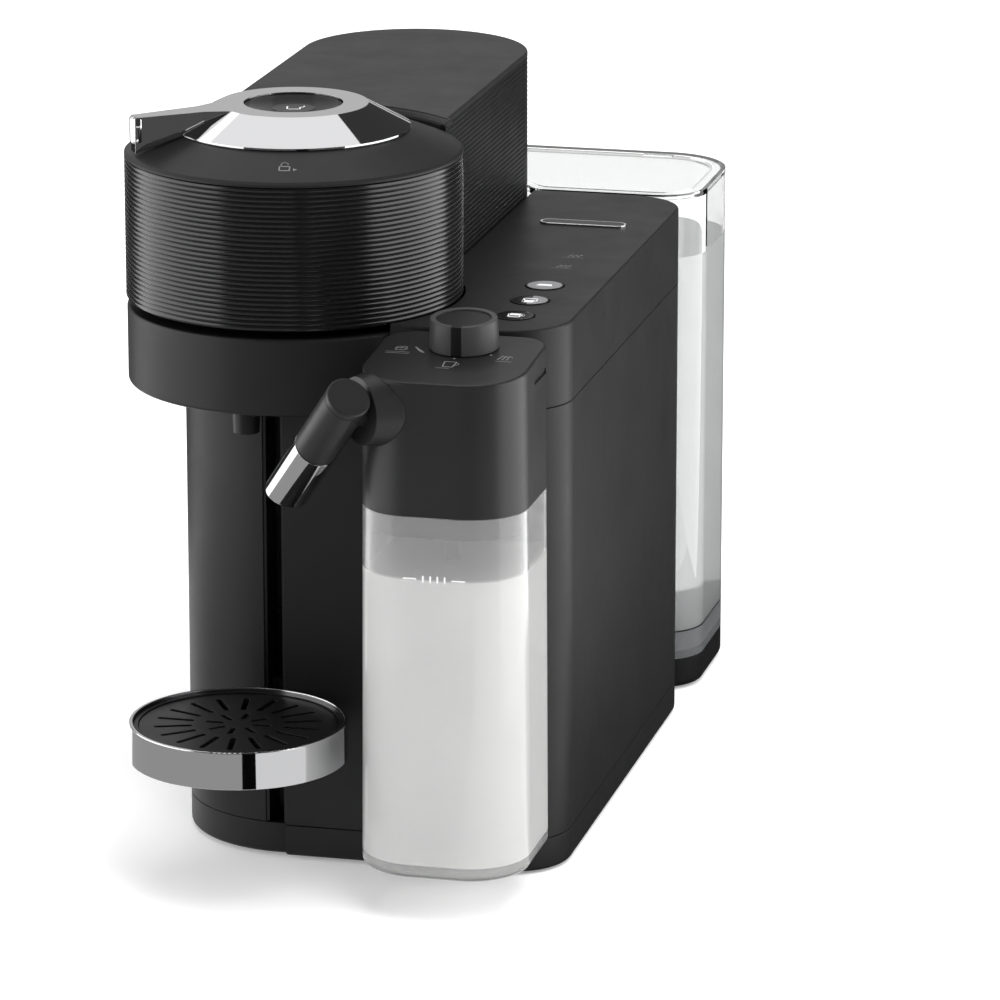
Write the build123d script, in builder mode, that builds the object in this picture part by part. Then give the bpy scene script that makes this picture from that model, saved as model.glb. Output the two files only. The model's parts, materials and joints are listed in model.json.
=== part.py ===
from build123d import *
import os
from math import cos, radians, sin, tan

# Pod coffee machine with a milk carafe. Millimetres, +Z up, -Y is the front.
# The origin is on the floor, under the middle of the whole machine.

# Brewing head: one vertical axis carries the collar, the drum, the cap and the lever.
HEAD_X = -28.5
HEAD_Y = -85.65
HEAD_R = 71.0
COLLAR_BOTTOM = 199.0
COLLAR_TOP = 231.5
COLLAR_R = HEAD_R - 0.4
WELL_R = 40.0
SHAFT_R = 3.0
DRUM_BOTTOM = 235.0
DRUM_TOP = 297.0
CAP_TOP = 307.0
LEVER_TOP = 316.5
RING_R = 31.4
BUTTON_HOLE_R = 20.8
SKIRT_R = 49.0
LEVER_REACH = 69.0
LEVER_ANGLE = 211.0
LEVER_DROP = 1.8

# Coffee outlet under the collar.
OUTLET_X = HEAD_X - 4.5
OUTLET_Y = HEAD_Y - 61.0
OUTLET_LENGTH = 9.2

# Body: a tall column with round ends, and a block beside it.
COLUMN_X = HEAD_X + 2.85
COLUMN_R = 50.65
COLUMN_FRONT = HEAD_Y + 4.65
COLUMN_BACK = HEAD_Y + 193.35
BODY_FRONT = COLUMN_FRONT - COLUMN_R
BLOCK_FRONT = BODY_FRONT - 2.5
BLOCK_RIGHT = HEAD_X + 125.2
BLOCK_BACK = HEAD_Y + 212.6
BLOCK_CORNER_R = 26.0
FOOT_HEIGHT = 1.2
BASE_FLOOR = 4.4
BASE_TOP = 14.8
CASING_TOP = 201.6
BLOCK_TOP = 235.8
RIDGE_TOP = 301.4
WALL = 2.5
SEAM = 0.4
RIDGE_CUT_R = HEAD_R + 0.8
HINGE_Y = HEAD_Y + 78.0
HINGE_Z = 296.4

# Rail for the cup support, in a groove between the two casings.
RAIL_LEFT = HEAD_X - 2.2
RAIL_RIGHT = HEAD_X + 7.0
RAIL_X = (RAIL_LEFT + RAIL_RIGHT) / 2
RAIL_DEPTH = 17.0
RAIL_WALL = 1.3
RAIL_TOP = 197.0

# Cup support.
TRAY_X = HEAD_X
TRAY_Y = HEAD_Y - 93.5
TRAY_R = 45.2
TRAY_BOTTOM = 59.5
TRAY_TOP = 75.4

# Milk carafe.
JUG_LEFT = HEAD_X + 54.0
JUG_RIGHT = HEAD_X + 124.4
JUG_FRONT = HEAD_Y - 120.4
JUG_BACK = HEAD_Y - 50.6
JUG_X = (JUG_LEFT + JUG_RIGHT) / 2
JUG_Y = (JUG_FRONT + JUG_BACK) / 2
JUG_FRONT_R = 25.0
JUG_BACK_R = 14.0
JUG_BOTTOM = 20.8
JUG_TOP = 174.4
JUG_TAPER = 0.35
LID_BACK_Z = 234.9
LID_SLOPE = 4.0
JUG_WALL = 2.2
KNOB_R = 14.3
KNOB_X = HEAD_X + 90.6
KNOB_Y = HEAD_Y - 70.0

# Milk spout: it swings about the axis of a collar on the lid's front-left corner.
SPOUT_Z = 216.4
SPOUT_AZIMUTH = 225.0
SPOUT_R = 9.2
SPOUT_LENGTH = 72.4
SPOUT_TIP_LENGTH = 35.0
SPOUT_ABOVE = 13.0
SPOUT_COLLAR_DEPTH = 5.4
SPOUT_OFFSET = SPOUT_COLLAR_DEPTH + 0.6 + SPOUT_R

# Water tank behind the block.
TANK_RIGHT = HEAD_X + 128.0
TANK_LEFT = HEAD_X + 6.0
TANK_FRONT = HEAD_Y + 218.8
TANK_BACK = HEAD_Y + 310.0
TANK_CORNER_R = 21.0
TANK_BACK_R = 32.0
TANK_CUT_R = 57.8
TANK_CUT_Y = HEAD_Y + 190.5
TANK_BASE_TOP = 15.1
TANK_BAND_TOP = 28.0
TANK_TOP = 234.8
TANK_WALL = 2.4
TANK_RIM = 5.8

# Control buttons on the block.
BUTTON_X = HEAD_X + 100.4
BUTTON_YS = [HEAD_Y - 22.4, HEAD_Y + 4.9, HEAD_Y + 32.2]
BUTTON_R = 8.1
BUTTON_GAP = 0.35

# Power inlet in the round back of the column, turned away from the tank.
INLET_AZIMUTH = 115.0
INLET_Z = 34.0
INLET_WIDTH = 30.0
INLET_HEIGHT = 24.0
INLET_STAND = 1.0

# Valve under the tank, and the socket it drops into.
VALVE_X = HEAD_X + 70.0
VALVE_Y = HEAD_Y + 262.0

# Badge and lamps on top of the block.
BADGE_X = HEAD_X + 90.5
BADGE_Y = HEAD_Y + 149.5
LAMPS = [(HEAD_X + 100.4, HEAD_Y + 88.4), (HEAD_X + 100.0, HEAD_Y + 68.1)]

# Pump, low in the block.
PUMP_X = HEAD_X + 76.0
PUMP_Z = 52.0

# Steam port in the front of the block, level with the froth valve in the lid.
PORT_Z = 214.0

os.makedirs("parts", exist_ok=True)


def save(builder, name):
    """Label the finished piece and write it to its own file."""
    builder.part.label = name
    export_step(builder.part, f"parts/{name}.step")


def body_plan(inset):
    """Plan of the whole body: the column with round ends and the block, drawn in by inset."""
    r = COLUMN_R - inset
    with Locations((COLUMN_X, COLUMN_FRONT), (COLUMN_X, COLUMN_BACK)):
        Circle(r)
    with Locations((COLUMN_X, (COLUMN_FRONT + COLUMN_BACK) / 2)):
        Rectangle(2 * r, COLUMN_BACK - COLUMN_FRONT)
    left = RAIL_RIGHT + inset
    right = BLOCK_RIGHT - inset
    depth = BLOCK_BACK - BLOCK_FRONT - 2 * inset
    with BuildSketch(mode=Mode.PRIVATE) as block:
        with Locations(((left + right) / 2, (BLOCK_FRONT + BLOCK_BACK) / 2)):
            Rectangle(right - left, depth)
        fillet(block.vertices().group_by(Axis.X)[-1], BLOCK_CORNER_R - inset)
    add(block.sketch)


def column_plan(inset):
    """Plan of the column alone."""
    r = COLUMN_R - inset
    with Locations((COLUMN_X, COLUMN_FRONT), (COLUMN_X, COLUMN_BACK)):
        Circle(r)
    with Locations((COLUMN_X, (COLUMN_FRONT + COLUMN_BACK) / 2)):
        Rectangle(2 * r, COLUMN_BACK - COLUMN_FRONT)


def tank_plan(inset):
    """Plan of the tank: a rounded box with a hollow that goes round the back of the column."""
    left = TANK_LEFT + inset
    right = TANK_RIGHT - inset
    front = TANK_FRONT + inset
    back = TANK_BACK - inset
    with BuildSketch(mode=Mode.PRIVATE) as plan:
        with Locations(((left + right) / 2, (front + back) / 2)):
            Rectangle(right - left, back - front)
        fillet(plan.vertices().group_by(Axis.Y)[0], TANK_CORNER_R - inset)
        back_right = plan.vertices().group_by(Axis.Y)[-1].sort_by(Axis.X)[-1]
        fillet(back_right, TANK_BACK_R - inset)
        back_left = plan.vertices().group_by(Axis.Y)[-1].sort_by(Axis.X)[0]
        fillet(back_left, TANK_CORNER_R - inset)
        with Locations((HEAD_X, TANK_CUT_Y)):
            Circle(TANK_CUT_R + inset, mode=Mode.SUBTRACT)
        sharp = plan.vertices().filter_by(lambda v: abs(
            (Vector(v.X, v.Y) - Vector(HEAD_X, TANK_CUT_Y)).length - TANK_CUT_R - inset) < 0.01)
        fillet(sharp, 8.0)
    add(plan.sketch)


def cut_round_head(radius=RIDGE_CUT_R):
    """Take away the space of the head from a piece of the ridge."""
    with Locations((HEAD_X, HEAD_Y, 0)):
        Cylinder(radius, 2 * RIDGE_TOP + 20, mode=Mode.SUBTRACT)


def jug_inset(z):
    """How far the carafe's slight taper draws its plan in at a height z."""
    return (z - JUG_BOTTOM) * tan(radians(JUG_TAPER))


def jug_plan(inset):
    """Plan of the milk carafe at its foot, drawn in by inset, with wider corners at the front."""
    with BuildSketch(mode=Mode.PRIVATE) as plan:
        with Locations((JUG_X, JUG_Y)):
            Rectangle(JUG_RIGHT - JUG_LEFT - 2 * inset, JUG_BACK - JUG_FRONT - 2 * inset)
        fillet(plan.vertices().group_by(Axis.Y)[0], JUG_FRONT_R - inset)
        fillet(plan.vertices().group_by(Axis.Y)[-1], JUG_BACK_R - inset)
    add(plan.sketch)


def inlet_plane():
    """Plane of the power inlet's face, with its normal out of the machine."""
    azimuth = radians(INLET_AZIMUTH)
    out = Vector(cos(azimuth), sin(azimuth), 0)
    face = Vector(COLUMN_X, COLUMN_BACK, INLET_Z) + out * (COLUMN_R + INLET_STAND)
    return Plane(origin=face, x_dir=(-out.Y, out.X, 0), z_dir=out)


def lid_top_at(y):
    """Height of the lid's sloping top at a depth y."""
    return LID_BACK_Z - (JUG_BACK - y) * tan(radians(LID_SLOPE))


# ---------------------------------------------------------------- body, outside

def make_base_plate():
    with BuildPart() as base:
        with BuildSketch(Plane.XY.offset(FOOT_HEIGHT)):
            body_plan(0)
        extrude(amount=BASE_TOP - FOOT_HEIGHT)
        with BuildSketch(Plane.XY.offset(BASE_FLOOR)):
            body_plan(WALL + 1.5)
        extrude(amount=20, mode=Mode.SUBTRACT)
        bottom = base.faces().sort_by(Axis.Z)[0]
        fillet(bottom.outer_wire().edges(), 2.0)
    save(base, "base_plate")


def make_feet():
    with BuildPart() as feet:
        spots = [(HEAD_X - 34, HEAD_Y + 8), (HEAD_X + 100, HEAD_Y - 20), (HEAD_X - 34, HEAD_Y + 190),
                 (HEAD_X + 100, HEAD_Y + 186), (HEAD_X + 106, HEAD_Y + 290), (HEAD_X + 30, HEAD_Y + 292)]
        with Locations(*[Location((x, y, 0)) for x, y in spots]):
            Cylinder(8.0, FOOT_HEIGHT, align=(Align.CENTER, Align.CENTER, Align.MIN))
    save(feet, "rubber_feet")


def make_casing(name, side):
    """One side of the lower casing (side -1 left, +1 right): the halves part at the rail and at the back."""
    front_edge = RAIL_LEFT if side < 0 else RAIL_RIGHT
    back_edge = RAIL_X + side * SEAM / 2
    reach = 300
    with BuildPart() as casing:
        with BuildSketch(Plane.XY.offset(BASE_TOP + SEAM)):
            body_plan(0)
            with BuildSketch(mode=Mode.PRIVATE) as inner:
                body_plan(WALL)
            add(inner.sketch, mode=Mode.SUBTRACT)
            with Locations((front_edge - side * reach / 2, HEAD_Y - reach / 2)):
                Rectangle(reach, reach, mode=Mode.SUBTRACT)
            with Locations((back_edge - side * reach / 2, HEAD_Y + reach / 2)):
                Rectangle(reach, reach, mode=Mode.SUBTRACT)
        extrude(amount=CASING_TOP - BASE_TOP - SEAM)
        with Locations((HEAD_X, HEAD_Y, COLLAR_BOTTOM - 0.2)):
            Cylinder(HEAD_R, 20, align=(Align.CENTER, Align.CENTER, Align.MIN), mode=Mode.SUBTRACT)
        with BuildSketch(inlet_plane()):
            Rectangle(INLET_WIDTH + 0.2, INLET_HEIGHT + 0.2)
        extrude(amount=-10, mode=Mode.SUBTRACT)
    save(casing, name)


def make_tray_rail():
    """U-shaped rail that lines the groove, with three ledges where the cup support catches."""
    width = RAIL_RIGHT - RAIL_LEFT - 0.2
    with BuildPart() as rail:
        with BuildSketch(Plane.XY.offset(BASE_TOP + SEAM)):
            with Locations((RAIL_X, BODY_FRONT + 0.8 + RAIL_DEPTH / 2)):
                Rectangle(width, RAIL_DEPTH)
            with Locations((RAIL_X, BODY_FRONT + 0.8 + (RAIL_DEPTH - RAIL_WALL) / 2)):
                Rectangle(width - 2 * RAIL_WALL, RAIL_DEPTH - RAIL_WALL, mode=Mode.SUBTRACT)
        extrude(amount=RAIL_TOP - BASE_TOP - SEAM)
        with Locations(*[(RAIL_X, BODY_FRONT + 0.8 + RAIL_DEPTH - RAIL_WALL - 1, z) for z in (28, 104, 150)]):
            Box(width - 2 * RAIL_WALL, 2, 2.4)
    save(rail, "tray_rail")


def make_control_cover():
    """Cover of the block: the top with its button holes and the side down to the seam."""
    with BuildPart() as cover:
        with BuildSketch(Plane.XY.offset(CASING_TOP + SEAM)):
            body_plan(0)
        extrude(amount=BLOCK_TOP - CASING_TOP - SEAM)
        edge = cover.faces().sort_by(Axis.Z)[-1].outer_wire().edges()
        fillet(edge, 1.0)
        with BuildSketch(Plane.XY.offset(CASING_TOP + SEAM)):
            body_plan(WALL)
        extrude(amount=BLOCK_TOP - WALL - CASING_TOP - SEAM, mode=Mode.SUBTRACT)
        with BuildSketch(Plane.XY.offset(CASING_TOP)):
            with Locations((COLUMN_X - 50, 0)):
                Rectangle(2 * (COLUMN_R + 50 + SEAM), 1000)
        extrude(amount=100, mode=Mode.SUBTRACT)
        cut_round_head()
        with Locations(*[(BUTTON_X, y, BLOCK_TOP) for y in BUTTON_YS]):
            Cylinder(BUTTON_R + BUTTON_GAP, 30, mode=Mode.SUBTRACT)
        with BuildSketch(Plane.XZ.offset(-BLOCK_FRONT)):
            with Locations((JUG_X, PORT_Z)):
                Circle(4.1)
        extrude(amount=10, both=True, mode=Mode.SUBTRACT)
    save(cover, "control_cover")


def make_ridge_cover():
    """Tall housing behind the head, hollow, with a slot for the head's hinge arms."""
    with BuildPart() as ridge:
        with BuildSketch(Plane.XY.offset(CASING_TOP + SEAM)):
            column_plan(0)
        extrude(amount=RIDGE_TOP - 2.4 - CASING_TOP - SEAM)
        with BuildSketch(Plane.XY.offset(CASING_TOP)):
            column_plan(WALL)
        extrude(amount=200, mode=Mode.SUBTRACT)
        with Locations((HEAD_X, HEAD_Y - 71, 0)):
            Box(400, 200, 1000, mode=Mode.SUBTRACT)
        cut_round_head()
    save(ridge, "ridge_cover")


def make_ridge_front():
    """Curved wall of the ridge that faces the head, with a slot for the hinge arms."""
    with BuildPart() as wall:
        with BuildSketch(Plane.XY.offset(CASING_TOP + SEAM)):
            with Locations((HEAD_X, HEAD_Y)):
                Circle(RIDGE_CUT_R + WALL)
                Circle(RIDGE_CUT_R, mode=Mode.SUBTRACT)
            with BuildSketch(mode=Mode.PRIVATE) as inner:
                column_plan(WALL + 0.1)
            add(inner.sketch, mode=Mode.INTERSECT)
            with Locations((HEAD_X, HEAD_Y - 71)):
                Rectangle(400, 200, mode=Mode.SUBTRACT)
        extrude(amount=RIDGE_TOP - 2.6 - CASING_TOP - SEAM)
        with Locations((HEAD_X, HINGE_Y, RIDGE_TOP)):
            Box(46, 30, 46, mode=Mode.SUBTRACT)
    save(wall, "ridge_front")


def make_ridge_top():
    """Top plate of the ridge, set back from the head so that the cap's rim can swing past it."""
    with BuildPart() as top:
        with BuildSketch(Plane.XY.offset(RIDGE_TOP - 2.2)):
            column_plan(0)
        extrude(amount=2.2)
        fillet(top.faces().sort_by(Axis.Z)[-1].outer_wire().edges(), 0.9)
        with Locations((HEAD_X, HEAD_Y - 71, 0)):
            Box(400, 200, 1000, mode=Mode.SUBTRACT)
        cut_round_head(RIDGE_CUT_R + 2.4)
    save(top, "ridge_top")


def make_collar():
    """Fixed lower half of the head: a round pan with a bore for the cup's shaft."""
    with BuildPart() as collar:
        with BuildSketch(Plane.XY.offset(COLLAR_BOTTOM)):
            with Locations((HEAD_X, HEAD_Y)):
                Circle(COLLAR_R)
        extrude(amount=COLLAR_TOP - COLLAR_BOTTOM)
        fillet(collar.edges().group_by(Axis.Z)[0], 1.5)
        fillet(collar.edges().group_by(Axis.Z)[-1], 0.8)
        with Locations((HEAD_X, HEAD_Y, COLLAR_BOTTOM + 3.5)):
            Cylinder(COLLAR_R - WALL, 60, align=(Align.CENTER, Align.CENTER, Align.MIN), mode=Mode.SUBTRACT)
        with Locations((HEAD_X, HEAD_Y, COLLAR_BOTTOM)):
            Cylinder(SHAFT_R + 0.3, 60, mode=Mode.SUBTRACT)
    save(collar, "head_collar")


def make_collar_deck():
    """Deck that closes the collar's pan, with the round well that the spinning cup sits in."""
    with BuildPart() as deck:
        with BuildSketch(Plane.XY.offset(COLLAR_TOP - 2.6)):
            with Locations((HEAD_X, HEAD_Y)):
                Circle(COLLAR_R - WALL - 0.1)
                Circle(WELL_R, mode=Mode.SUBTRACT)
        extrude(amount=2.4)
        with BuildSketch(Plane.XY.offset(COLLAR_BOTTOM + 3.6)):
            with Locations((HEAD_X, HEAD_Y)):
                Circle(WELL_R + 2.4)
                Circle(WELL_R, mode=Mode.SUBTRACT)
        extrude(amount=COLLAR_TOP - COLLAR_BOTTOM - 5)
    save(deck, "collar_deck")


def make_coffee_outlet():
    with BuildPart() as outlet:
        with BuildSketch(Plane.XY.offset(COLLAR_BOTTOM)):
            with Locations((OUTLET_X, OUTLET_Y)):
                Circle(5.8)
        extrude(amount=-OUTLET_LENGTH, taper=2)
        with Locations((OUTLET_X, OUTLET_Y, COLLAR_BOTTOM)):
            Cylinder(1.9, 3 * OUTLET_LENGTH, mode=Mode.SUBTRACT)
    save(outlet, "coffee_outlet")


def make_badge():
    """Blank oval badge on the block."""
    with BuildPart() as badge:
        with BuildSketch(Plane.XY.offset(BLOCK_TOP)):
            with Locations((BADGE_X, BADGE_Y)):
                SlotOverall(39, 8.6)
        extrude(amount=0.8)
        fillet(badge.edges().group_by(Axis.Z)[-1], 0.3)
    save(badge, "badge")


def make_indicators():
    """Two small lamps behind the row of buttons, with a bar under each."""
    with BuildPart() as lamps:
        with BuildSketch(Plane.XY.offset(BLOCK_TOP)):
            with Locations(*LAMPS):
                SlotOverall(9.0, 4.6)
        extrude(amount=0.25)
    save(lamps, "indicator_lamps")


# ---------------------------------------------------------------- body, inside

def make_chassis():
    """Upright frame that carries the pump, the heater and the board."""
    with BuildPart() as chassis:
        with Locations((HEAD_X + 36, HEAD_Y + 80, BASE_FLOOR + 0.1)):
            Box(4, 210, 186, align=(Align.CENTER, Align.CENTER, Align.MIN))
        with Locations((HEAD_X + 51, HEAD_Y + 150, BASE_FLOOR + 0.1)):
            Box(34, 4, 166, align=(Align.CENTER, Align.CENTER, Align.MIN))
        with Locations((HEAD_X + 36, HEAD_Y + 80, 120)):
            Box(10, 60, 50, mode=Mode.SUBTRACT)
    save(chassis, "chassis")


def make_pump():
    with BuildPart() as pump:
        with BuildSketch(Plane.XZ.offset(-(HEAD_Y + 95))):
            with Locations((PUMP_X, PUMP_Z)):
                Circle(19)
        extrude(amount=-48)
        with BuildSketch(Plane.XZ.offset(-(HEAD_Y + 70))):
            with Locations((PUMP_X, PUMP_Z)):
                Circle(7)
        extrude(amount=-95)
        with BuildSketch(Plane.XZ.offset(-(HEAD_Y + 104))):
            with Locations((PUMP_X, PUMP_Z)):
                Rectangle(44, 44)
        extrude(amount=-30)
    save(pump, "water_pump")


def make_heater():
    """Flow heater: a flat block with the heated tube's coils raised round it."""
    with BuildPart() as heater:
        with Locations((HEAD_X + 72, HEAD_Y + 60, 130)):
            Box(40, 70, 60)
        fillet(heater.edges().filter_by(Axis.Z), 8)
        with Locations(*[(HEAD_X + 72, HEAD_Y + 60, 110 + 10 * i) for i in range(5)]):
            Box(46, 60, 5)
    save(heater, "heater_block")


def make_board():
    with BuildPart() as board:
        with Locations((HEAD_X + 100, HEAD_Y + 52, 216)):
            Box(34, 150, 1.6)
        with Locations(*[(HEAD_X + 104, HEAD_Y + y, 218.6) for y in (95, 110)]):
            Box(14, 9, 4)
    save(board, "control_board")


def make_motor():
    """Motor under the head that spins the capsule cup."""
    with BuildPart() as motor:
        with Locations((HEAD_X, HEAD_Y, 150)):
            Cylinder(24, 46, align=(Align.CENTER, Align.CENTER, Align.MIN))
        fillet(motor.edges(), 1.5)
        with Locations((HEAD_X, HEAD_Y, 186)):
            Cylinder(SHAFT_R + 0.06, 30, align=(Align.CENTER, Align.CENTER, Align.MIN), mode=Mode.SUBTRACT)
    save(motor, "drive_motor")


def make_motor_bracket():
    with BuildPart() as bracket:
        with BuildSketch(Plane.XY.offset(146)):
            with Locations((HEAD_X, HEAD_Y)):
                Circle(27)
            with Locations((HEAD_X + 17, HEAD_Y)):
                Rectangle(34, 20)
        extrude(amount=4)
        with BuildSketch(Plane.XY.offset(150)):
            with Locations((HEAD_X, HEAD_Y)):
                Circle(27)
                Circle(24.05, mode=Mode.SUBTRACT)
        extrude(amount=8)
    save(bracket, "motor_bracket")


def make_flow_meter():
    with BuildPart() as meter:
        with Locations((HEAD_X + 60, HEAD_Y + 170, 40)):
            Cylinder(11, 16)
        with Locations((HEAD_X + 60, HEAD_Y + 170, 40)):
            Box(36, 7, 7)
    save(meter, "flow_meter")


def make_tank_plinth():
    """Foot of the machine that reaches out behind the block and carries the tank."""
    with BuildPart() as plinth:
        with BuildSketch(Plane.XY.offset(FOOT_HEIGHT)):
            tank_plan(0)
        extrude(amount=TANK_BASE_TOP - FOOT_HEIGHT - SEAM)
        bottom = plinth.faces().sort_by(Axis.Z)[0]
        fillet(bottom.outer_wire().edges(), 3.0)
        with BuildSketch(Plane.XY.offset(FOOT_HEIGHT)):
            with Locations((HEAD_X + 82, (BLOCK_BACK + TANK_FRONT) / 2)):
                Rectangle(60, TANK_FRONT - BLOCK_BACK)
        extrude(amount=8)
        with Locations((VALVE_X, VALVE_Y, TANK_BASE_TOP)):
            Cylinder(9.0, 12, mode=Mode.SUBTRACT)
    save(plinth, "tank_plinth")


def make_tank_socket():
    """Ring in the plinth that the tank's valve drops into."""
    with BuildPart() as socket:
        with BuildSketch(Plane.XY.offset(TANK_BASE_TOP - 6 + 0.1)):
            with Locations((VALVE_X, VALVE_Y)):
                Circle(8.9)
                Circle(6.4, mode=Mode.SUBTRACT)
        extrude(amount=5.4)
    save(socket, "tank_socket")


def make_steam_port():
    """Short steel nozzle in the front of the block, where the carafe's lid plugs in."""
    with BuildPart() as port:
        with BuildSketch(Plane.XZ.offset(-(BLOCK_FRONT - 1.4))):
            with Locations((JUG_X, PORT_Z)):
                Circle(4.0)
                Circle(1.6, mode=Mode.SUBTRACT)
        extrude(amount=-16)
        with BuildSketch(Plane.XZ.offset(-(BLOCK_FRONT - 0.8))):
            with Locations((JUG_X, PORT_Z)):
                Circle(9.5)
                Circle(4.0, mode=Mode.SUBTRACT)
        extrude(amount=-0.8)
    save(port, "steam_port")


def make_power_inlet():
    """Mains socket with its three pins."""
    face = inlet_plane()
    with BuildPart() as inlet:
        with BuildSketch(face):
            RectangleRounded(INLET_WIDTH, INLET_HEIGHT, 3)
        extrude(amount=-20)
        with BuildSketch(face):
            RectangleRounded(23, 16, 2.5)
        extrude(amount=-14, mode=Mode.SUBTRACT)
        with BuildSketch(face.offset(-14.5)):
            with Locations((-7, -1), (0, 2), (7, -1)):
                Rectangle(2, 4)
        extrude(amount=12.5)
    save(inlet, "power_inlet")


def make_hinge_pin():
    with BuildPart() as pin:
        with BuildSketch(Plane.YZ.offset(HEAD_X - 30)):
            with Locations((HINGE_Y, HINGE_Z)):
                Circle(1.5)
        extrude(amount=60)
    save(pin, "hinge_pin")


def make_screws():
    """Six screws through the base plate, one node of separate solids."""
    with BuildPart() as screws:
        spots = [(HEAD_X - 40, HEAD_Y + 50), (HEAD_X - 40, HEAD_Y + 150), (HEAD_X + 60, HEAD_Y - 30),
                 (HEAD_X + 112, HEAD_Y + 60), (HEAD_X + 112, HEAD_Y + 140), (HEAD_X + 60, HEAD_Y + 200)]
        with Locations(*[Location((x, y, BASE_FLOOR)) for x, y in spots]):
            Cylinder(3.0, 2.0, align=(Align.CENTER, Align.CENTER, Align.MIN))
            Cylinder(1.4, 12.0, align=(Align.CENTER, Align.CENTER, Align.MIN))
    save(screws, "base_screws")


# ---------------------------------------------------------------- opening head

def make_drum():
    with BuildPart() as drum:
        with BuildSketch(Plane.XY.offset(DRUM_BOTTOM)):
            with Locations((HEAD_X, HEAD_Y)):
                Circle(HEAD_R)
                Circle(HEAD_R - 3, mode=Mode.SUBTRACT)
        extrude(amount=DRUM_TOP - 1.6 - DRUM_BOTTOM)
        with Locations((HEAD_X, HEAD_Y + HEAD_R, DRUM_TOP - 6)):
            Box(36, 14, 20, mode=Mode.SUBTRACT)
    save(drum, "head_drum")


def make_cap():
    """Conical cap of the head, with the step that the lever turns in and the two hinge arms."""
    arm_root = HEAD_Y + HEAD_R - 6
    with BuildPart() as cap:
        with BuildSketch(Plane.XZ.offset(-HEAD_Y)):
            with BuildLine():
                Polyline((HEAD_X, DRUM_TOP - 4), (HEAD_X + HEAD_R - 3.1, DRUM_TOP - 4),
                         (HEAD_X + HEAD_R - 3.1, DRUM_TOP - 1.5), (HEAD_X + HEAD_R, DRUM_TOP - 1.5),
                         (HEAD_X + HEAD_R, DRUM_TOP - 0.6), (HEAD_X + HEAD_R - 1.2, DRUM_TOP + 0.5),
                         (HEAD_X + SKIRT_R, CAP_TOP - 1.2), (HEAD_X + SKIRT_R - 2, CAP_TOP - 1.2),
                         (HEAD_X + SKIRT_R - 2, CAP_TOP - 5), (HEAD_X, CAP_TOP - 5), close=True)
            make_face()
        revolve(axis=Axis((HEAD_X, HEAD_Y, 0), (0, 0, 1)))
        for side in (-1, 1):
            with BuildSketch(Plane.YZ.offset(HEAD_X + side * 14 - 3)):
                with BuildLine():
                    Polyline((arm_root, 284), (arm_root, 294), (HEAD_Y + 72.5, 292), (HINGE_Y - 2.6, HINGE_Z - 1),
                             (HINGE_Y + 2.6, HINGE_Z), (HINGE_Y + 2.6, HINGE_Z - 4), (HEAD_Y + 74, 284), close=True)
                make_face()
                with Locations((HINGE_Y, HINGE_Z)):
                    Circle(2.6)
                with Locations((HINGE_Y, HINGE_Z)):
                    Circle(1.55, mode=Mode.SUBTRACT)
            extrude(amount=6)
        with Locations((HEAD_X, HEAD_Y + HEAD_R - 6, 289)):
            Box(34, 4, 10)
    save(cap, "head_cap")


def make_injection_plate():
    """Plate under the drum that presses the capsule's rim, with a ring of short spikes."""
    with BuildPart() as plate:
        with BuildSketch(Plane.XY.offset(DRUM_BOTTOM + 1)):
            with Locations((HEAD_X, HEAD_Y)):
                Circle(HEAD_R - 3.1)
        extrude(amount=4)
        with BuildSketch(Plane.XY.offset(DRUM_BOTTOM + 1)):
            with Locations((HEAD_X, HEAD_Y)):
                Circle(27)
        extrude(amount=-2.4)
        with Locations((HEAD_X, HEAD_Y, 0)):
            with PolarLocations(20, 12):
                with Locations((0, 0, DRUM_BOTTOM - 1.4)):
                    Cone(1.0, 2.0, 3, align=(Align.CENTER, Align.CENTER, Align.MAX))
    save(plate, "injection_plate")


def make_head_core():
    """Ring of ribs inside the drum that stiffens the injection plate against the cap."""
    with BuildPart() as core:
        with BuildSketch(Plane.XY.offset(DRUM_BOTTOM + 5)):
            with Locations((HEAD_X, HEAD_Y)):
                Circle(34)
                Circle(31, mode=Mode.SUBTRACT)
            with Locations((HEAD_X, HEAD_Y)):
                with PolarLocations(49, 6):
                    Rectangle(31, 3)
        extrude(amount=DRUM_TOP - 4 - DRUM_BOTTOM - 5)
    save(core, "head_core")


def make_seal():
    with BuildPart() as seal:
        with BuildSketch(Plane.XY.offset(DRUM_BOTTOM + 1)):
            with Locations((HEAD_X, HEAD_Y)):
                Circle(31)
                Circle(28, mode=Mode.SUBTRACT)
        extrude(amount=-1.6)
    save(seal, "head_seal")


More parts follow.
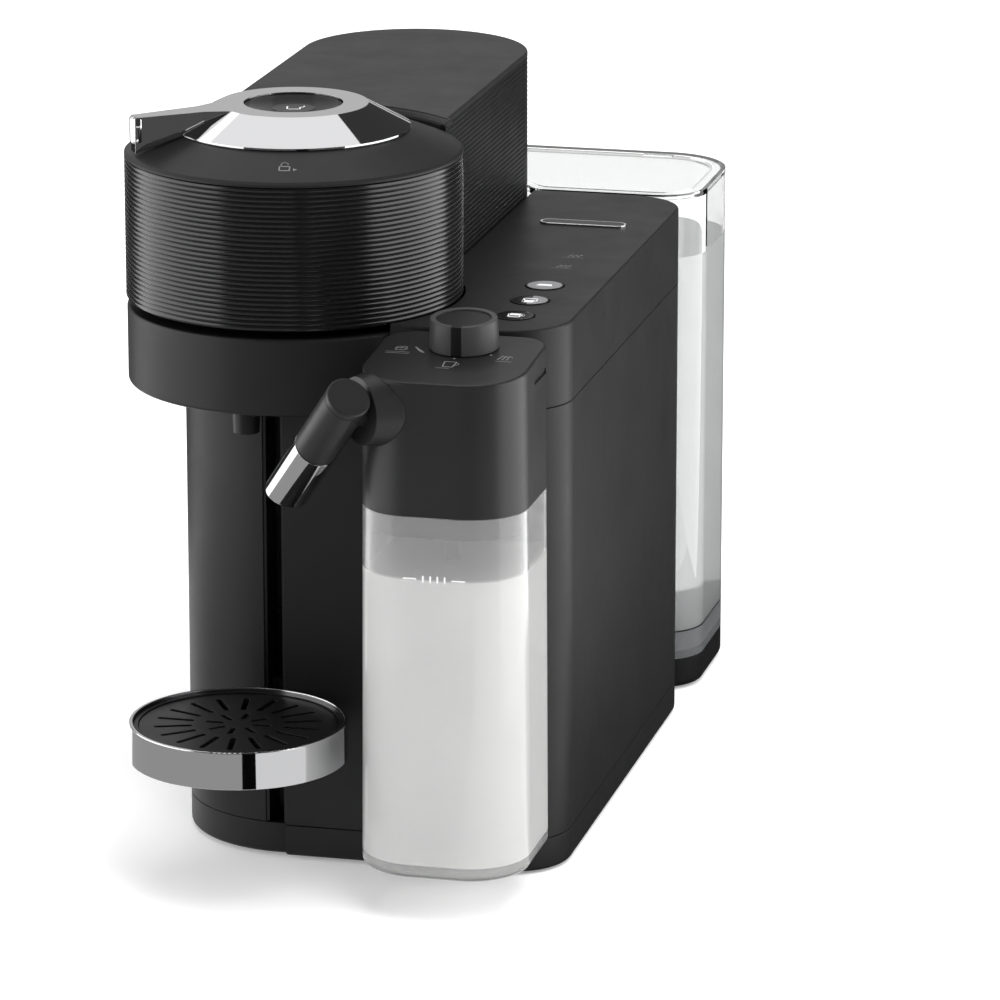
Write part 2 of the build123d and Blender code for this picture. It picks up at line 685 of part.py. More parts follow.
def make_lever():
    """Chrome ring with a long arm: it turns about the head's axis to lock and unlock it."""
    with BuildPart() as lever:
        with BuildSketch(Plane.XZ.offset(-HEAD_Y)):
            with BuildLine():
                Polyline((HEAD_X + BUTTON_HOLE_R, CAP_TOP - 3.2), (HEAD_X + SKIRT_R - 2.4, CAP_TOP - 3.2),
                         (HEAD_X + SKIRT_R - 2.4, CAP_TOP - 0.8), (HEAD_X + SKIRT_R, CAP_TOP - 0.8),
                         (HEAD_X + SKIRT_R, CAP_TOP), (HEAD_X + RING_R, LEVER_TOP),
                         (HEAD_X + BUTTON_HOLE_R, LEVER_TOP), close=True)
            make_face()
        revolve(axis=Axis((HEAD_X, HEAD_Y, 0), (0, 0, 1)))
        arm_plane = Plane(origin=(HEAD_X, HEAD_Y, 0), x_dir=(cos(radians(LEVER_ANGLE)), sin(radians(LEVER_ANGLE)), 0),
                          z_dir=(0, 0, 1))
        with BuildSketch(arm_plane.offset(LEVER_TOP)):
            with BuildLine():
                Polyline((24, -13), (40, -6), (LEVER_REACH, -3.6), (LEVER_REACH, 3.6), (40, 6), (24, 13),
                         close=True)
            make_face()
        extrude(amount=-22)
        fall = LEVER_DROP / (LEVER_REACH - RING_R)
        arm_top = Plane(origin=arm_plane.from_local_coords((RING_R, 0, LEVER_TOP)),
                        z_dir=arm_plane.x_dir * fall + Vector(0, 0, 1))
        split(bisect_by=arm_top, keep=Keep.BOTTOM)
        with BuildSketch(Plane.XZ.offset(-HEAD_Y)):
            with BuildLine():
                Polyline((HEAD_X, CAP_TOP - 30), (HEAD_X + 90, CAP_TOP - 30), (HEAD_X + 90, DRUM_TOP + 2),
                         (HEAD_X + HEAD_R, DRUM_TOP + 2), (HEAD_X + SKIRT_R, CAP_TOP - 0.8),
                         (HEAD_X + SKIRT_R - 2.4, CAP_TOP - 0.8), (HEAD_X + SKIRT_R - 2.4, CAP_TOP - 3.2),
                         (HEAD_X, CAP_TOP - 3.2), close=True)
            make_face()
        revolve(axis=Axis((HEAD_X, HEAD_Y, 0), (0, 0, 1)), mode=Mode.SUBTRACT)
        with Locations((HEAD_X, HEAD_Y, LEVER_TOP)):
            Cylinder(BUTTON_HOLE_R, 60, mode=Mode.SUBTRACT)
        with BuildSketch(Plane.XZ.offset(-HEAD_Y)):
            with BuildLine():
                Polyline((HEAD_X + BUTTON_HOLE_R + 2.4, CAP_TOP - 4), (HEAD_X + SKIRT_R - 5, CAP_TOP - 4),
                         (HEAD_X + SKIRT_R - 5, CAP_TOP + 0.2), (HEAD_X + RING_R - 1, LEVER_TOP - 2.4),
                         (HEAD_X + BUTTON_HOLE_R + 2.4, LEVER_TOP - 2.4), close=True)
            make_face()
        revolve(axis=Axis((HEAD_X, HEAD_Y, 0), (0, 0, 1)), mode=Mode.SUBTRACT)
    save(lever, "lock_lever")


def make_brew_button():
    with BuildPart() as button:
        with BuildSketch(Plane.XZ.offset(-HEAD_Y)):
            with BuildLine():
                Line((HEAD_X, CAP_TOP - 2.8), (HEAD_X + BUTTON_HOLE_R - 0.4, CAP_TOP - 2.8))
                Line((HEAD_X + BUTTON_HOLE_R - 0.4, CAP_TOP - 2.8), (HEAD_X + BUTTON_HOLE_R - 0.4, LEVER_TOP - 0.8))
                ThreePointArc((HEAD_X + BUTTON_HOLE_R - 0.4, LEVER_TOP - 0.8), (HEAD_X + 14, LEVER_TOP - 2.2),
                              (HEAD_X + 9, LEVER_TOP - 2.6))
                Line((HEAD_X + 9, LEVER_TOP - 2.6), (HEAD_X, LEVER_TOP - 2.6))
                Line((HEAD_X, LEVER_TOP - 2.6), (HEAD_X, CAP_TOP - 2.8))
            make_face()
        revolve(axis=Axis((HEAD_X, HEAD_Y, 0), (0, 0, 1)))
    save(button, "brew_button")


def make_cup():
    """Spinning cup that holds the capsule by its rim."""
    with BuildPart() as cup:
        with BuildSketch(Plane.XZ.offset(-HEAD_Y)):
            with BuildLine():
                Polyline((HEAD_X, COLLAR_BOTTOM + 6), (HEAD_X + 18, COLLAR_BOTTOM + 6),
                         (HEAD_X + 31, COLLAR_BOTTOM + 20), (HEAD_X + 34, COLLAR_TOP - 4.2),
                         (HEAD_X + 38, COLLAR_TOP - 3.2), (HEAD_X + 38, COLLAR_TOP - 1.2),
                         (HEAD_X + 31, COLLAR_TOP - 1.2),
                         (HEAD_X + 28, COLLAR_BOTTOM + 21), (HEAD_X + 16, COLLAR_BOTTOM + 9),
                         (HEAD_X, COLLAR_BOTTOM + 9), close=True)
            make_face()
        revolve(axis=Axis((HEAD_X, HEAD_Y, 0), (0, 0, 1)))
    save(cup, "capsule_cup")


def make_cup_shaft():
    """Shaft under the spinning cup, down into the motor."""
    with BuildPart() as shaft:
        with Locations((HEAD_X, HEAD_Y, 188)):
            Cylinder(SHAFT_R, COLLAR_BOTTOM + 5.9 - 188, align=(Align.CENTER, Align.CENTER, Align.MIN))
    save(shaft, "cup_shaft")


# ---------------------------------------------------------------- cup support

def make_tray_ring():
    with BuildPart() as ring:
        with BuildSketch(Plane.XY.offset(TRAY_BOTTOM)):
            with Locations((TRAY_X, TRAY_Y)):
                Circle(TRAY_R)
                Circle(TRAY_R - 1.6, mode=Mode.SUBTRACT)
        extrude(amount=TRAY_TOP - TRAY_BOTTOM)
        fillet(ring.edges().group_by(Axis.Z)[-1], 0.5)
    save(ring, "tray_ring")


def make_tray_dish():
    """Dark bowl inside the ring, with the boss below it and the arm that runs in the rail."""
    with BuildPart() as dish:
        with BuildSketch(Plane.XY.offset(TRAY_BOTTOM - 0.5)):
            with Locations((TRAY_X, TRAY_Y)):
                Circle(TRAY_R - 1.7)
        extrude(amount=TRAY_TOP - TRAY_BOTTOM - 1)
        with BuildSketch(Plane.XY.offset(TRAY_BOTTOM + 2)):
            with Locations((TRAY_X, TRAY_Y)):
                Circle(TRAY_R - 3.7)
        extrude(amount=20, mode=Mode.SUBTRACT)
        with BuildSketch(Plane.XY.offset(TRAY_BOTTOM - 0.5)):
            with Locations((TRAY_X + 1, TRAY_Y + 6)):
                Circle(30)
        extrude(amount=-4, taper=20)
    save(dish, "tray_dish")


def make_tray_arm():
    with BuildPart() as arm:
        with BuildSketch(Plane.XY.offset(TRAY_BOTTOM - 4.5)):
            with Locations((RAIL_X, (TRAY_Y + TRAY_R - 8 + BODY_FRONT + 10) / 2)):
                Rectangle(5.0, BODY_FRONT + 10 - TRAY_Y - TRAY_R + 8)
        extrude(amount=3.9)
        with Locations((RAIL_X, BODY_FRONT + 7.5, TRAY_BOTTOM - 4.5)):
            Box(5.0, 6, 22, align=(Align.CENTER, Align.CENTER, Align.MIN))
    save(arm, "tray_arm")


def make_drip_grid():
    """Round grid that the cup stands on, with two rows of curved slots."""
    with BuildPart() as grid:
        with BuildSketch(Plane.XY.offset(TRAY_TOP - 4.4)):
            with Locations((TRAY_X, TRAY_Y)):
                Circle(TRAY_R - 4.0)
        extrude(amount=2.4)
        with BuildSketch(Plane.XY.offset(TRAY_TOP - 6)):
            with Locations((TRAY_X, TRAY_Y)):
                with PolarLocations(27, 18):
                    SlotOverall(16, 2.4)
                with PolarLocations(10, 8):
                    SlotOverall(8, 2.2)
        extrude(amount=6, mode=Mode.SUBTRACT)
        with BuildSketch(Plane.XY.offset(TRAY_BOTTOM + 2.2)):
            with Locations((TRAY_X, TRAY_Y)):
                with PolarLocations(38, 4, start_angle=45):
                    Circle(2.2)
        extrude(amount=TRAY_TOP - 4.4 - TRAY_BOTTOM - 2.2)
    save(grid, "drip_grid")


# ---------------------------------------------------------------- milk carafe

def make_jug():
    """Clear jug with a thick floor and a step at the top for the lid's skirt."""
    with BuildPart() as jug:
        with BuildSketch(Plane.XY.offset(JUG_BOTTOM)):
            jug_plan(0)
        extrude(amount=JUG_TOP - JUG_BOTTOM, taper=JUG_TAPER)
        fillet(jug.faces().sort_by(Axis.Z)[0].edges(), 3.5)
        with BuildSketch(Plane.XY.offset(JUG_BOTTOM + 6)):
            jug_plan(JUG_WALL + jug_inset(JUG_BOTTOM + 6))
        extrude(amount=200, taper=JUG_TAPER, mode=Mode.SUBTRACT)
    save(jug, "milk_jug")


def make_lid():
    """Lid with a sloping top, a socket for the steam port and a pocket for the spout's collar."""
    with BuildPart() as lid:
        with BuildSketch(Plane.XY.offset(JUG_TOP + 0.3)):
            jug_plan(jug_inset(JUG_TOP))
        extrude(amount=LID_BACK_Z - JUG_TOP, taper=JUG_TAPER)
        slope = Plane(origin=(JUG_X, JUG_BACK, LID_BACK_Z), x_dir=(1, 0, 0),
                      z_dir=(0, -sin(radians(LID_SLOPE)), cos(radians(LID_SLOPE))))
        split(bisect_by=slope, keep=Keep.BOTTOM)
        fillet(lid.faces().sort_by(Axis.Z)[-1].edges(), 1.2)
        with BuildSketch(Plane.XY.offset(JUG_TOP + 0.3)):
            jug_plan(JUG_WALL + jug_inset(JUG_TOP))
        extrude(amount=40, taper=JUG_TAPER, mode=Mode.SUBTRACT)
        with BuildSketch(Plane.XZ.offset(-JUG_BACK)):
            with Locations((JUG_X, PORT_Z)):
                Circle(10.2)
        extrude(amount=14, mode=Mode.SUBTRACT)
        with Locations((JUG_RIGHT, HEAD_Y - 73, 224.2)):
            Box(4.4, 21, 2.6, mode=Mode.SUBTRACT)
    save(lid, "carafe_lid")


def make_lid_skirt():
    """Dark inner skirt of the lid that drops inside the jug."""
    with BuildPart() as skirt:
        outer = JUG_WALL + 0.4 + jug_inset(JUG_TOP + 11)
        with BuildSketch(Plane.XY.offset(JUG_TOP - 9)):
            jug_plan(outer)
            with BuildSketch(mode=Mode.PRIVATE) as inner:
                jug_plan(outer + 2)
            add(inner.sketch, mode=Mode.SUBTRACT)
        extrude(amount=20)
        with BuildSketch(Plane.XY.offset(JUG_TOP + 8)):
            jug_plan(outer)
            with Locations((JUG_X, JUG_Y)):
                Circle(5, mode=Mode.SUBTRACT)
        extrude(amount=3)
    save(skirt, "lid_skirt")


def make_froth_valve():
    """Mixing valve in the lid: steam and milk meet here on the way to the spout."""
    with BuildPart() as valve:
        with Locations((JUG_X, JUG_Y, JUG_TOP + 11.2)):
            Cylinder(15, 28, align=(Align.CENTER, Align.CENTER, Align.MIN))
        with Locations((JUG_X, JUG_Y, JUG_TOP - 5)):
            Cylinder(4.8, 17, align=(Align.CENTER, Align.CENTER, Align.MIN))
    save(valve, "froth_valve")


def make_milk_tube():
    with BuildPart() as tube:
        with BuildSketch(Plane.XY.offset(JUG_BOTTOM + 10)):
            with Locations((JUG_X, JUG_Y)):
                Circle(3.0)
                Circle(1.8, mode=Mode.SUBTRACT)
        extrude(amount=JUG_TOP - 5 - JUG_BOTTOM - 10)
    save(tube, "milk_tube")


def knob_plane(rise):
    """Plane on the lid's sloping top under the knob, raised by rise."""
    tilt = radians(LID_SLOPE)
    normal = Vector(0, -sin(tilt), cos(tilt))
    foot = Vector(KNOB_X, KNOB_Y, lid_top_at(KNOB_Y))
    return Plane(origin=foot + normal * rise, x_dir=(1, 0, 0), z_dir=normal)


def make_knob():
    with BuildPart() as knob:
        with BuildSketch(knob_plane(0.4)):
            Circle(KNOB_R)
        with BuildSketch(knob_plane(12.6)):
            Circle(KNOB_R - 0.6)
        loft()
        with BuildSketch(knob_plane(12.6)):
            Circle(KNOB_R - 3.0)
        extrude(amount=-1.2, mode=Mode.SUBTRACT)
    save(knob, "froth_knob")


def make_knob_cap():
    with BuildPart() as cap:
        with BuildSketch(knob_plane(11.5)):
            Circle(KNOB_R - 3.1)
        extrude(amount=0.6)
    save(cap, "knob_cap")


def spout_planes():
    """Plane of the spout's collar (normal outwards) and plane across the top of the spout."""
    azimuth = radians(SPOUT_AZIMUTH)
    out = Vector(cos(azimuth), sin(azimuth), 0)
    along = (Vector(sin(azimuth), -cos(azimuth), 0) + Vector(0, 0, -1)).normalized()
    corner = Vector(JUG_LEFT + JUG_FRONT_R, JUG_FRONT + JUG_FRONT_R, SPOUT_Z)
    foot = corner + out * (JUG_FRONT_R - jug_inset(SPOUT_Z))
    centre = foot + out * SPOUT_OFFSET
    top = centre - along * SPOUT_ABOVE
    return Plane(origin=foot, x_dir=(0, 0, 1), z_dir=out), Plane(origin=top, x_dir=out, z_dir=along)


def make_spout_collar():
    """Ring moulded on the lid's corner, where the spout plugs in."""
    collar_plane, _ = spout_planes()
    with BuildPart() as collar:
        with BuildSketch(collar_plane.offset(-9)):
            Circle(17.0)
        with BuildSketch(collar_plane.offset(SPOUT_COLLAR_DEPTH)):
            Circle(14.0)
        loft()
        with BuildSketch(collar_plane.offset(-12)):
            Circle(6.3)
        extrude(amount=30, mode=Mode.SUBTRACT)
        with BuildSketch(Plane.XY.offset(JUG_TOP + 0.3)):
            jug_plan(jug_inset(JUG_TOP) - 0.02)
        extrude(amount=90, taper=JUG_TAPER, mode=Mode.SUBTRACT)
    save(collar, "spout_collar")


def make_spout_body():
    """Black upper part of the spout, with the plug that turns in the collar."""
    collar_plane, top_plane = spout_planes()
    with BuildPart() as body:
        with BuildSketch(top_plane):
            Circle(SPOUT_R)
        extrude(amount=SPOUT_LENGTH - SPOUT_TIP_LENGTH)
        fillet(body.edges(), 0.8)
        with BuildSketch(collar_plane.offset(0.6)):
            Circle(6.2)
        extrude(amount=SPOUT_OFFSET - 4)
    save(body, "spout_body")


def make_spout_tip():
    """Bright metal sleeve of the spout, cut off at a slant at its mouth."""
    _, top_plane = spout_planes()
    start = SPOUT_LENGTH - SPOUT_TIP_LENGTH + 0.2
    with BuildPart() as tip:
        with BuildSketch(top_plane.offset(start)):
            Circle(SPOUT_R)
            Circle(SPOUT_R - 1.6, mode=Mode.SUBTRACT)
        extrude(amount=SPOUT_TIP_LENGTH)
        with BuildSketch(top_plane.offset(start)):
            Circle(SPOUT_R - 1.0)
            Circle(1.6, mode=Mode.SUBTRACT)
        extrude(amount=SPOUT_TIP_LENGTH - 12)
        end = top_plane.offset(SPOUT_LENGTH)
        slant = Plane(origin=end.origin, x_dir=end.x_dir, z_dir=(end.z_dir + Vector(0, 0, -0.55)).normalized())
        split(bisect_by=slant, keep=Keep.BOTTOM)
    save(tip, "spout_tip")


# ---------------------------------------------------------------- control buttons

def make_button(index):
    with BuildPart() as button:
        with BuildSketch(Plane.XY.offset(BLOCK_TOP - 7)):
            with Locations((BUTTON_X, BUTTON_YS[index])):
                Circle(BUTTON_R)
        extrude(amount=7.3)
        fillet(button.edges().group_by(Axis.Z)[-1], 0.3)
    save(button, f"control_button_{index + 1}")


# ---------------------------------------------------------------- water tank

def make_tank():
    """Clear tank, open at the top, with a thick rim and a ledge in it for the lid."""
    with BuildPart() as tank:
        with BuildSketch(Plane.XY.offset(TANK_BAND_TOP)):
            tank_plan(0)
        extrude(amount=TANK_TOP - TANK_BAND_TOP)
        with BuildSketch(Plane.XY.offset(TANK_BAND_TOP)):
            tank_plan(TANK_WALL)
        extrude(amount=TANK_TOP - 3 - TANK_BAND_TOP, mode=Mode.SUBTRACT)
        with BuildSketch(Plane.XY.offset(TANK_TOP - 3)):
            tank_plan(TANK_RIM + 1.5)
        extrude(amount=10, mode=Mode.SUBTRACT)
        with BuildSketch(Plane.XY.offset(TANK_TOP - 2.1)):
            tank_plan(TANK_RIM)
        extrude(amount=10, mode=Mode.SUBTRACT)
    save(tank, "tank_shell")


def make_tank_band():
    """Smoked base of the tank."""
    with BuildPart() as band:
        with BuildSketch(Plane.XY.offset(TANK_BASE_TOP)):
            tank_plan(0)
        extrude(amount=TANK_BAND_TOP - TANK_BASE_TOP)
        with BuildSketch(Plane.XY.offset(TANK_BASE_TOP + 3.5)):
            tank_plan(TANK_WALL)
        extrude(amount=20, mode=Mode.SUBTRACT)
    save(band, "tank_band")


def make_tank_valve():
    """Spring valve under the tank that the socket pushes open."""
    with BuildPart() as valve:
        with BuildSketch(Plane.XY.offset(TANK_BASE_TOP + 3.5)):
            with Locations((VALVE_X, VALVE_Y)):
                Circle(9)
        extrude(amount=6)
    save(valve, "tank_valve")


def make_tank_lid():
    """Clear lid that lies inside the tank's rim, with a finger tab at the back."""
    with BuildPart() as lid:
        with BuildSketch(Plane.XY.offset(TANK_TOP - 1.8)):
            tank_plan(TANK_RIM + 0.3)
        extrude(amount=1.6)
        with Locations((HEAD_X + 92, TANK_BACK - TANK_RIM - 3, TANK_TOP - 0.3)):
            Box(14, 4, 1.0)
    save(lid, "tank_lid")


make_base_plate()
make_feet()
make_casing("left_casing", -1)
make_casing("right_casing", 1)
make_tray_rail()
make_control_cover()
make_ridge_cover()
make_ridge_front()
make_ridge_top()
make_collar()
make_collar_deck()
make_coffee_outlet()
make_badge()
make_indicators()
make_chassis()
make_pump()
make_heater()
make_board()
make_motor()
make_motor_bracket()
make_flow_meter()
make_tank_plinth()
make_tank_socket()
make_steam_port()
make_power_inlet()
make_hinge_pin()
make_screws()
make_drum()
make_cap()
make_injection_plate()
make_head_core()
make_seal()
make_lever()
make_brew_button()
make_cup()
make_cup_shaft()
make_tray_ring()
make_tray_dish()
make_tray_arm()
make_drip_grid()
make_jug()
make_lid()
make_lid_skirt()
make_froth_valve()
make_milk_tube()
make_knob()
make_knob_cap()
make_spout_collar()
make_spout_body()
make_spout_tip()
for number in range(len(BUTTON_YS)):
    make_button(number)
make_tank()
make_tank_band()
make_tank_valve()
make_tank_lid()
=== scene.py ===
import json
from math import acos, atan2, cos, pi, radians, sin, sqrt, tan

import bmesh
import bpy
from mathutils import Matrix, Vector


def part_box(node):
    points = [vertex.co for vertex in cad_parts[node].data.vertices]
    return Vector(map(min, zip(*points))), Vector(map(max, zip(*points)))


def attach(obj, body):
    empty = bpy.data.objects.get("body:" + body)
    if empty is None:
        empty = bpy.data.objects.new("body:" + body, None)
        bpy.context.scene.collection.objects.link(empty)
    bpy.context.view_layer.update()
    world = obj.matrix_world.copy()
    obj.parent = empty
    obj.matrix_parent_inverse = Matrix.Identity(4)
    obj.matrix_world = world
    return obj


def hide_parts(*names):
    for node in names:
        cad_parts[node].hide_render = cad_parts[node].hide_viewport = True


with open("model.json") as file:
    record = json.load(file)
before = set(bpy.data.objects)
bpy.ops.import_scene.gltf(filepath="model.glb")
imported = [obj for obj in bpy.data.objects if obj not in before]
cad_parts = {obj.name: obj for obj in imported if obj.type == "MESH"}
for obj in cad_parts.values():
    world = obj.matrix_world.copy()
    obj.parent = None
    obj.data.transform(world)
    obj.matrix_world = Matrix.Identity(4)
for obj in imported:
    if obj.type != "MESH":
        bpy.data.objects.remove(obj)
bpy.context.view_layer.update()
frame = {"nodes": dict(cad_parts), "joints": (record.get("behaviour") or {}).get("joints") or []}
nodes = frame["nodes"]
MM = 0.001


# ---------------------------------------------------------------- materials

NOISE_LOW, NOISE_HIGH = 0.3, 0.7    # nearly all values of a noise lie between these
TONE = 0.06                         # how far a plastic's tone wanders
GRAIN_DEPTH = 0.00012
CAST_DEPTH = 0.00005
METAL_EDGE = 0.0003                 # radius at which the shader rounds a metal's edges


def node(tree, kind, **values):
    """Adds a shader node. A value named in_Scale sets the input Scale, others are attributes."""
    made = tree.nodes.new(kind)
    for key, value in values.items():
        if key.startswith("in_"):
            made.inputs[key[3:]].default_value = value
        else:
            setattr(made, key, value)
    return made


def start_material(name):
    mat = bpy.data.materials.new(name)
    mat.use_nodes = True
    tree = mat.node_tree
    return mat, tree, tree.nodes["Principled BSDF"]


def object_coords(tree):
    return node(tree, "ShaderNodeTexCoord").outputs["Object"]


def noise(tree, coords, scale, detail=3.0, rough=0.55):
    made = node(tree, "ShaderNodeTexNoise", in_Scale=scale, in_Detail=detail, in_Roughness=rough)
    tree.links.new(coords, made.inputs["Vector"])
    return made.outputs["Fac"]


def mapped(tree, value, low, high, lo_in=NOISE_LOW, hi_in=NOISE_HIGH):
    made = node(tree, "ShaderNodeMapRange")
    made.inputs["From Min"].default_value = lo_in
    made.inputs["From Max"].default_value = hi_in
    made.inputs["To Min"].default_value = low
    made.inputs["To Max"].default_value = high
    tree.links.new(value, made.inputs["Value"])
    return made.outputs["Result"]


def blended(tree, value, colour_a, colour_b):
    ramp = node(tree, "ShaderNodeValToRGB")
    first, last = ramp.color_ramp.elements
    first.position, last.position = NOISE_LOW, NOISE_HIGH
    first.color, last.color = (*colour_a, 1), (*colour_b, 1)
    tree.links.new(value, ramp.inputs["Fac"])
    return ramp.outputs["Color"]


def shaded(colour, by):
    return tuple(min(1.0, c * by) for c in colour)


def set_colour(tree, bsdf, value, colour_a, colour_b):
    tree.links.new(blended(tree, value, colour_a, colour_b), bsdf.inputs["Base Color"])


def set_roughness(tree, bsdf, value, roughness, spread):
    low = max(0.0, roughness - spread)
    tree.links.new(mapped(tree, value, low, roughness + spread), bsdf.inputs["Roughness"])


def set_relief(tree, bsdf, value, strength, depth, edge):
    """Bump from a noise, over edges that the shader rounds where edge isn't 0."""
    relief = node(tree, "ShaderNodeBump", in_Strength=strength, in_Distance=depth)
    tree.links.new(value, relief.inputs["Height"])
    if edge:
        rounded = node(tree, "ShaderNodeBevel", samples=4, in_Radius=edge)
        tree.links.new(rounded.outputs["Normal"], relief.inputs["Normal"])
    tree.links.new(relief.outputs["Normal"], bsdf.inputs["Normal"])


def moulded(name, colour, roughness, specular=0.5, grain=1400.0, bump=0.05, spread=0.04, edge=0.0):
    """Moulded plastic: broad tone change, fine grain in the bump, roughness that wanders."""
    mat, tree, bsdf = start_material(name)
    coords = object_coords(tree)
    broad = noise(tree, coords, 11.0, 4.0)
    set_colour(tree, bsdf, broad, shaded(colour, 1 - TONE), shaded(colour, 1 + TONE))
    set_roughness(tree, bsdf, noise(tree, coords, 34.0, 5.0, 0.65), roughness, spread)
    bsdf.inputs["Specular IOR Level"].default_value = specular
    set_relief(tree, bsdf, noise(tree, coords, grain, 2.0), bump, GRAIN_DEPTH, edge)
    return mat


def metal(name, colour, roughness, spread=0.02, bump=0.0):
    """Plated or cast metal, with faint smudges in its roughness."""
    mat, tree, bsdf = start_material(name)
    coords = object_coords(tree)
    set_colour(tree, bsdf, noise(tree, coords, 9.0), shaded(colour, 0.97), colour)
    set_roughness(tree, bsdf, noise(tree, coords, 46.0, 5.0, 0.6), roughness, spread)
    bsdf.inputs["Metallic"].default_value = 1.0
    set_relief(tree, bsdf, noise(tree, coords, 900.0, 2.0), bump, CAST_DEPTH, METAL_EDGE)
    return mat


def clear(name, colour, transmission, roughness, ior, spread=0.01):
    """Clear or cloudy plastic, and water."""
    mat, tree, bsdf = start_material(name)
    coords = object_coords(tree)
    set_colour(tree, bsdf, noise(tree, coords, 8.0), shaded(colour, 0.985), colour)
    set_roughness(tree, bsdf, noise(tree, coords, 30.0, 4.0), roughness, spread)
    bsdf.inputs["Transmission Weight"].default_value = transmission
    bsdf.inputs["IOR"].default_value = ior
    return mat


def milky(name, colour_a, colour_b):
    """Opaque white liquid that lets a little light through."""
    mat, tree, bsdf = start_material(name)
    set_colour(tree, bsdf, noise(tree, object_coords(tree), 12.0), colour_a, colour_b)
    bsdf.inputs["Roughness"].default_value = 0.35
    bsdf.inputs["Subsurface Weight"].default_value = 0.3
    bsdf.inputs["Subsurface Radius"].default_value = (0.006, 0.006, 0.005)
    return mat


ANTHRACITE = (0.0125, 0.0125, 0.0130)
casing = moulded("casing_plastic", ANTHRACITE, 0.44, specular=0.22, edge=0.0006)
ribbed = moulded("ribbed_plastic", (0.005, 0.005, 0.0054), 0.18, bump=0.03, spread=0.03)
ridge_ribs = moulded("ridge_plastic", (0.006, 0.006, 0.0065), 0.42, specular=0.12, bump=0.03)
dark = moulded("dark_plastic", (0.006, 0.006, 0.0065), 0.38, specular=0.3, edge=0.0004)
lid_plastic = moulded("lid_plastic", ANTHRACITE, 0.38, specular=0.35, edge=0.0006)
knob_plastic = moulded("knob_plastic", (0.048, 0.048, 0.049), 0.40, specular=0.25, edge=0.0006)
button_dish = moulded("button_dish", (0.007, 0.007, 0.008), 0.34, specular=0.08, bump=0.02)
gloss_black = moulded("gloss_black", (0.005, 0.005, 0.006), 0.18, specular=0.07, bump=0.01)
# Grey of the reflections painted on the gloss black key tops.
painted_key_reflection = moulded("painted_key_reflection", (0.20, 0.20, 0.21), 0.30, bump=0.02)
mark_grey = moulded("mark_grey", (0.17, 0.17, 0.175), 0.45, bump=0.02)
mark_white = moulded("mark_white", (0.90, 0.90, 0.90), 0.45, bump=0.02)
rubber = moulded("rubber", (0.010, 0.010, 0.010), 0.75, grain=700.0, bump=0.2)
board_green = moulded("board_green", (0.010, 0.075, 0.030), 0.35)
chrome = metal("chrome", (0.62, 0.62, 0.63), 0.035, spread=0.015)
badge_chrome = metal("badge_chrome", (0.86, 0.86, 0.87), 0.12, spread=0.03)
steel = metal("steel", (0.55, 0.55, 0.56), 0.30, spread=0.06, bump=0.1)
aluminium = metal("aluminium", (0.62, 0.62, 0.63), 0.45, spread=0.08, bump=0.3)
jug_clear = clear("jug_clear", (0.83, 0.83, 0.83), 0.86, 0.16, 1.40, spread=0.02)
tank_clear = clear("tank_clear", (0.935, 0.94, 0.94), 1.0, 0.03, 1.45)
smoked = clear("smoked", (0.30, 0.31, 0.32), 0.70, 0.15, 1.45, spread=0.02)
water = clear("water", (0.86, 0.875, 0.87), 0.62, 0.12, 1.33)
milk = milky("milk", (0.80, 0.80, 0.79), (0.86, 0.86, 0.85))

LOOKS = (
    (casing, "base_plate left_casing right_casing control_cover ridge_cover ridge_front ridge_top "
             "head_collar collar_deck head_cap"),
    (ribbed, "head_drum"),
    (dark, "coffee_outlet tray_dish tray_arm tray_rail drip_grid motor_bracket injection_plate "
           "head_core chassis tank_plinth capsule_cup tank_valve tank_socket flow_meter "
           "power_inlet knob_cap lid_skirt"),
    (lid_plastic, "carafe_lid spout_body spout_collar froth_valve"),
    (knob_plastic, "froth_knob"),
    (button_dish, "brew_button"),
    (gloss_black, "control_button_1 control_button_2 control_button_3"),
    (chrome, "lock_lever tray_ring spout_tip"),
    (badge_chrome, "badge"),
    (steel, "cup_shaft steam_port hinge_pin base_screws drive_motor water_pump"),
    (aluminium, "heater_block"),
    (board_green, "control_board"),
    (rubber, "rubber_feet head_seal"),
    (jug_clear, "milk_jug"),
    (mark_grey, "milk_tube indicator_lamps"),
    (tank_clear, "tank_shell tank_lid"),
    (smoked, "tank_band"),
)
for look, names in LOOKS:
    for name in names.split():
        nodes[name].data.materials.clear()
        nodes[name].data.materials.append(look)


# ---------------------------------------------------------------- mesh helpers

def piece(name, verts, faces, body, look, smooth=True, sharp=35.0):
    """Makes one visible piece from points and faces, riding on a body."""
    mesh = bpy.data.meshes.new(name)
    mesh.from_pydata([tuple(v) for v in verts], [], faces)
    work = bmesh.new()
    work.from_mesh(mesh)
    bmesh.ops.recalc_face_normals(work, faces=work.faces)
    for edge in work.edges:
        if len(edge.link_faces) == 2 and edge.calc_face_angle(0.0) > radians(sharp):
            edge.smooth = False
    for face in work.faces:
        face.smooth = smooth
    work.to_mesh(mesh)
    work.free()
    mesh.materials.append(look)
    made = bpy.data.objects.new(name, mesh)
    bpy.context.scene.collection.objects.link(made)
    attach(made, body)
    return made


def ring_faces(rows, columns, close_rows=False):
    """Quads between rows of points. Each row is a closed ring of `columns` points."""
    faces = []
    for r in range(rows if close_rows else rows - 1):
        below = r * columns
        above = ((r + 1) % rows) * columns
        for c in range(columns):
            d = (c + 1) % columns
            faces.append((below + c, below + d, above + d, above + c))
    return faces


def block_faces(rows, columns):
    """Faces of a solid made of closed rings, with a flat bottom and a flat top."""
    return ring_faces(rows, columns) + [tuple(reversed(range(columns))),
                                        tuple(range((rows - 1) * columns, rows * columns))]


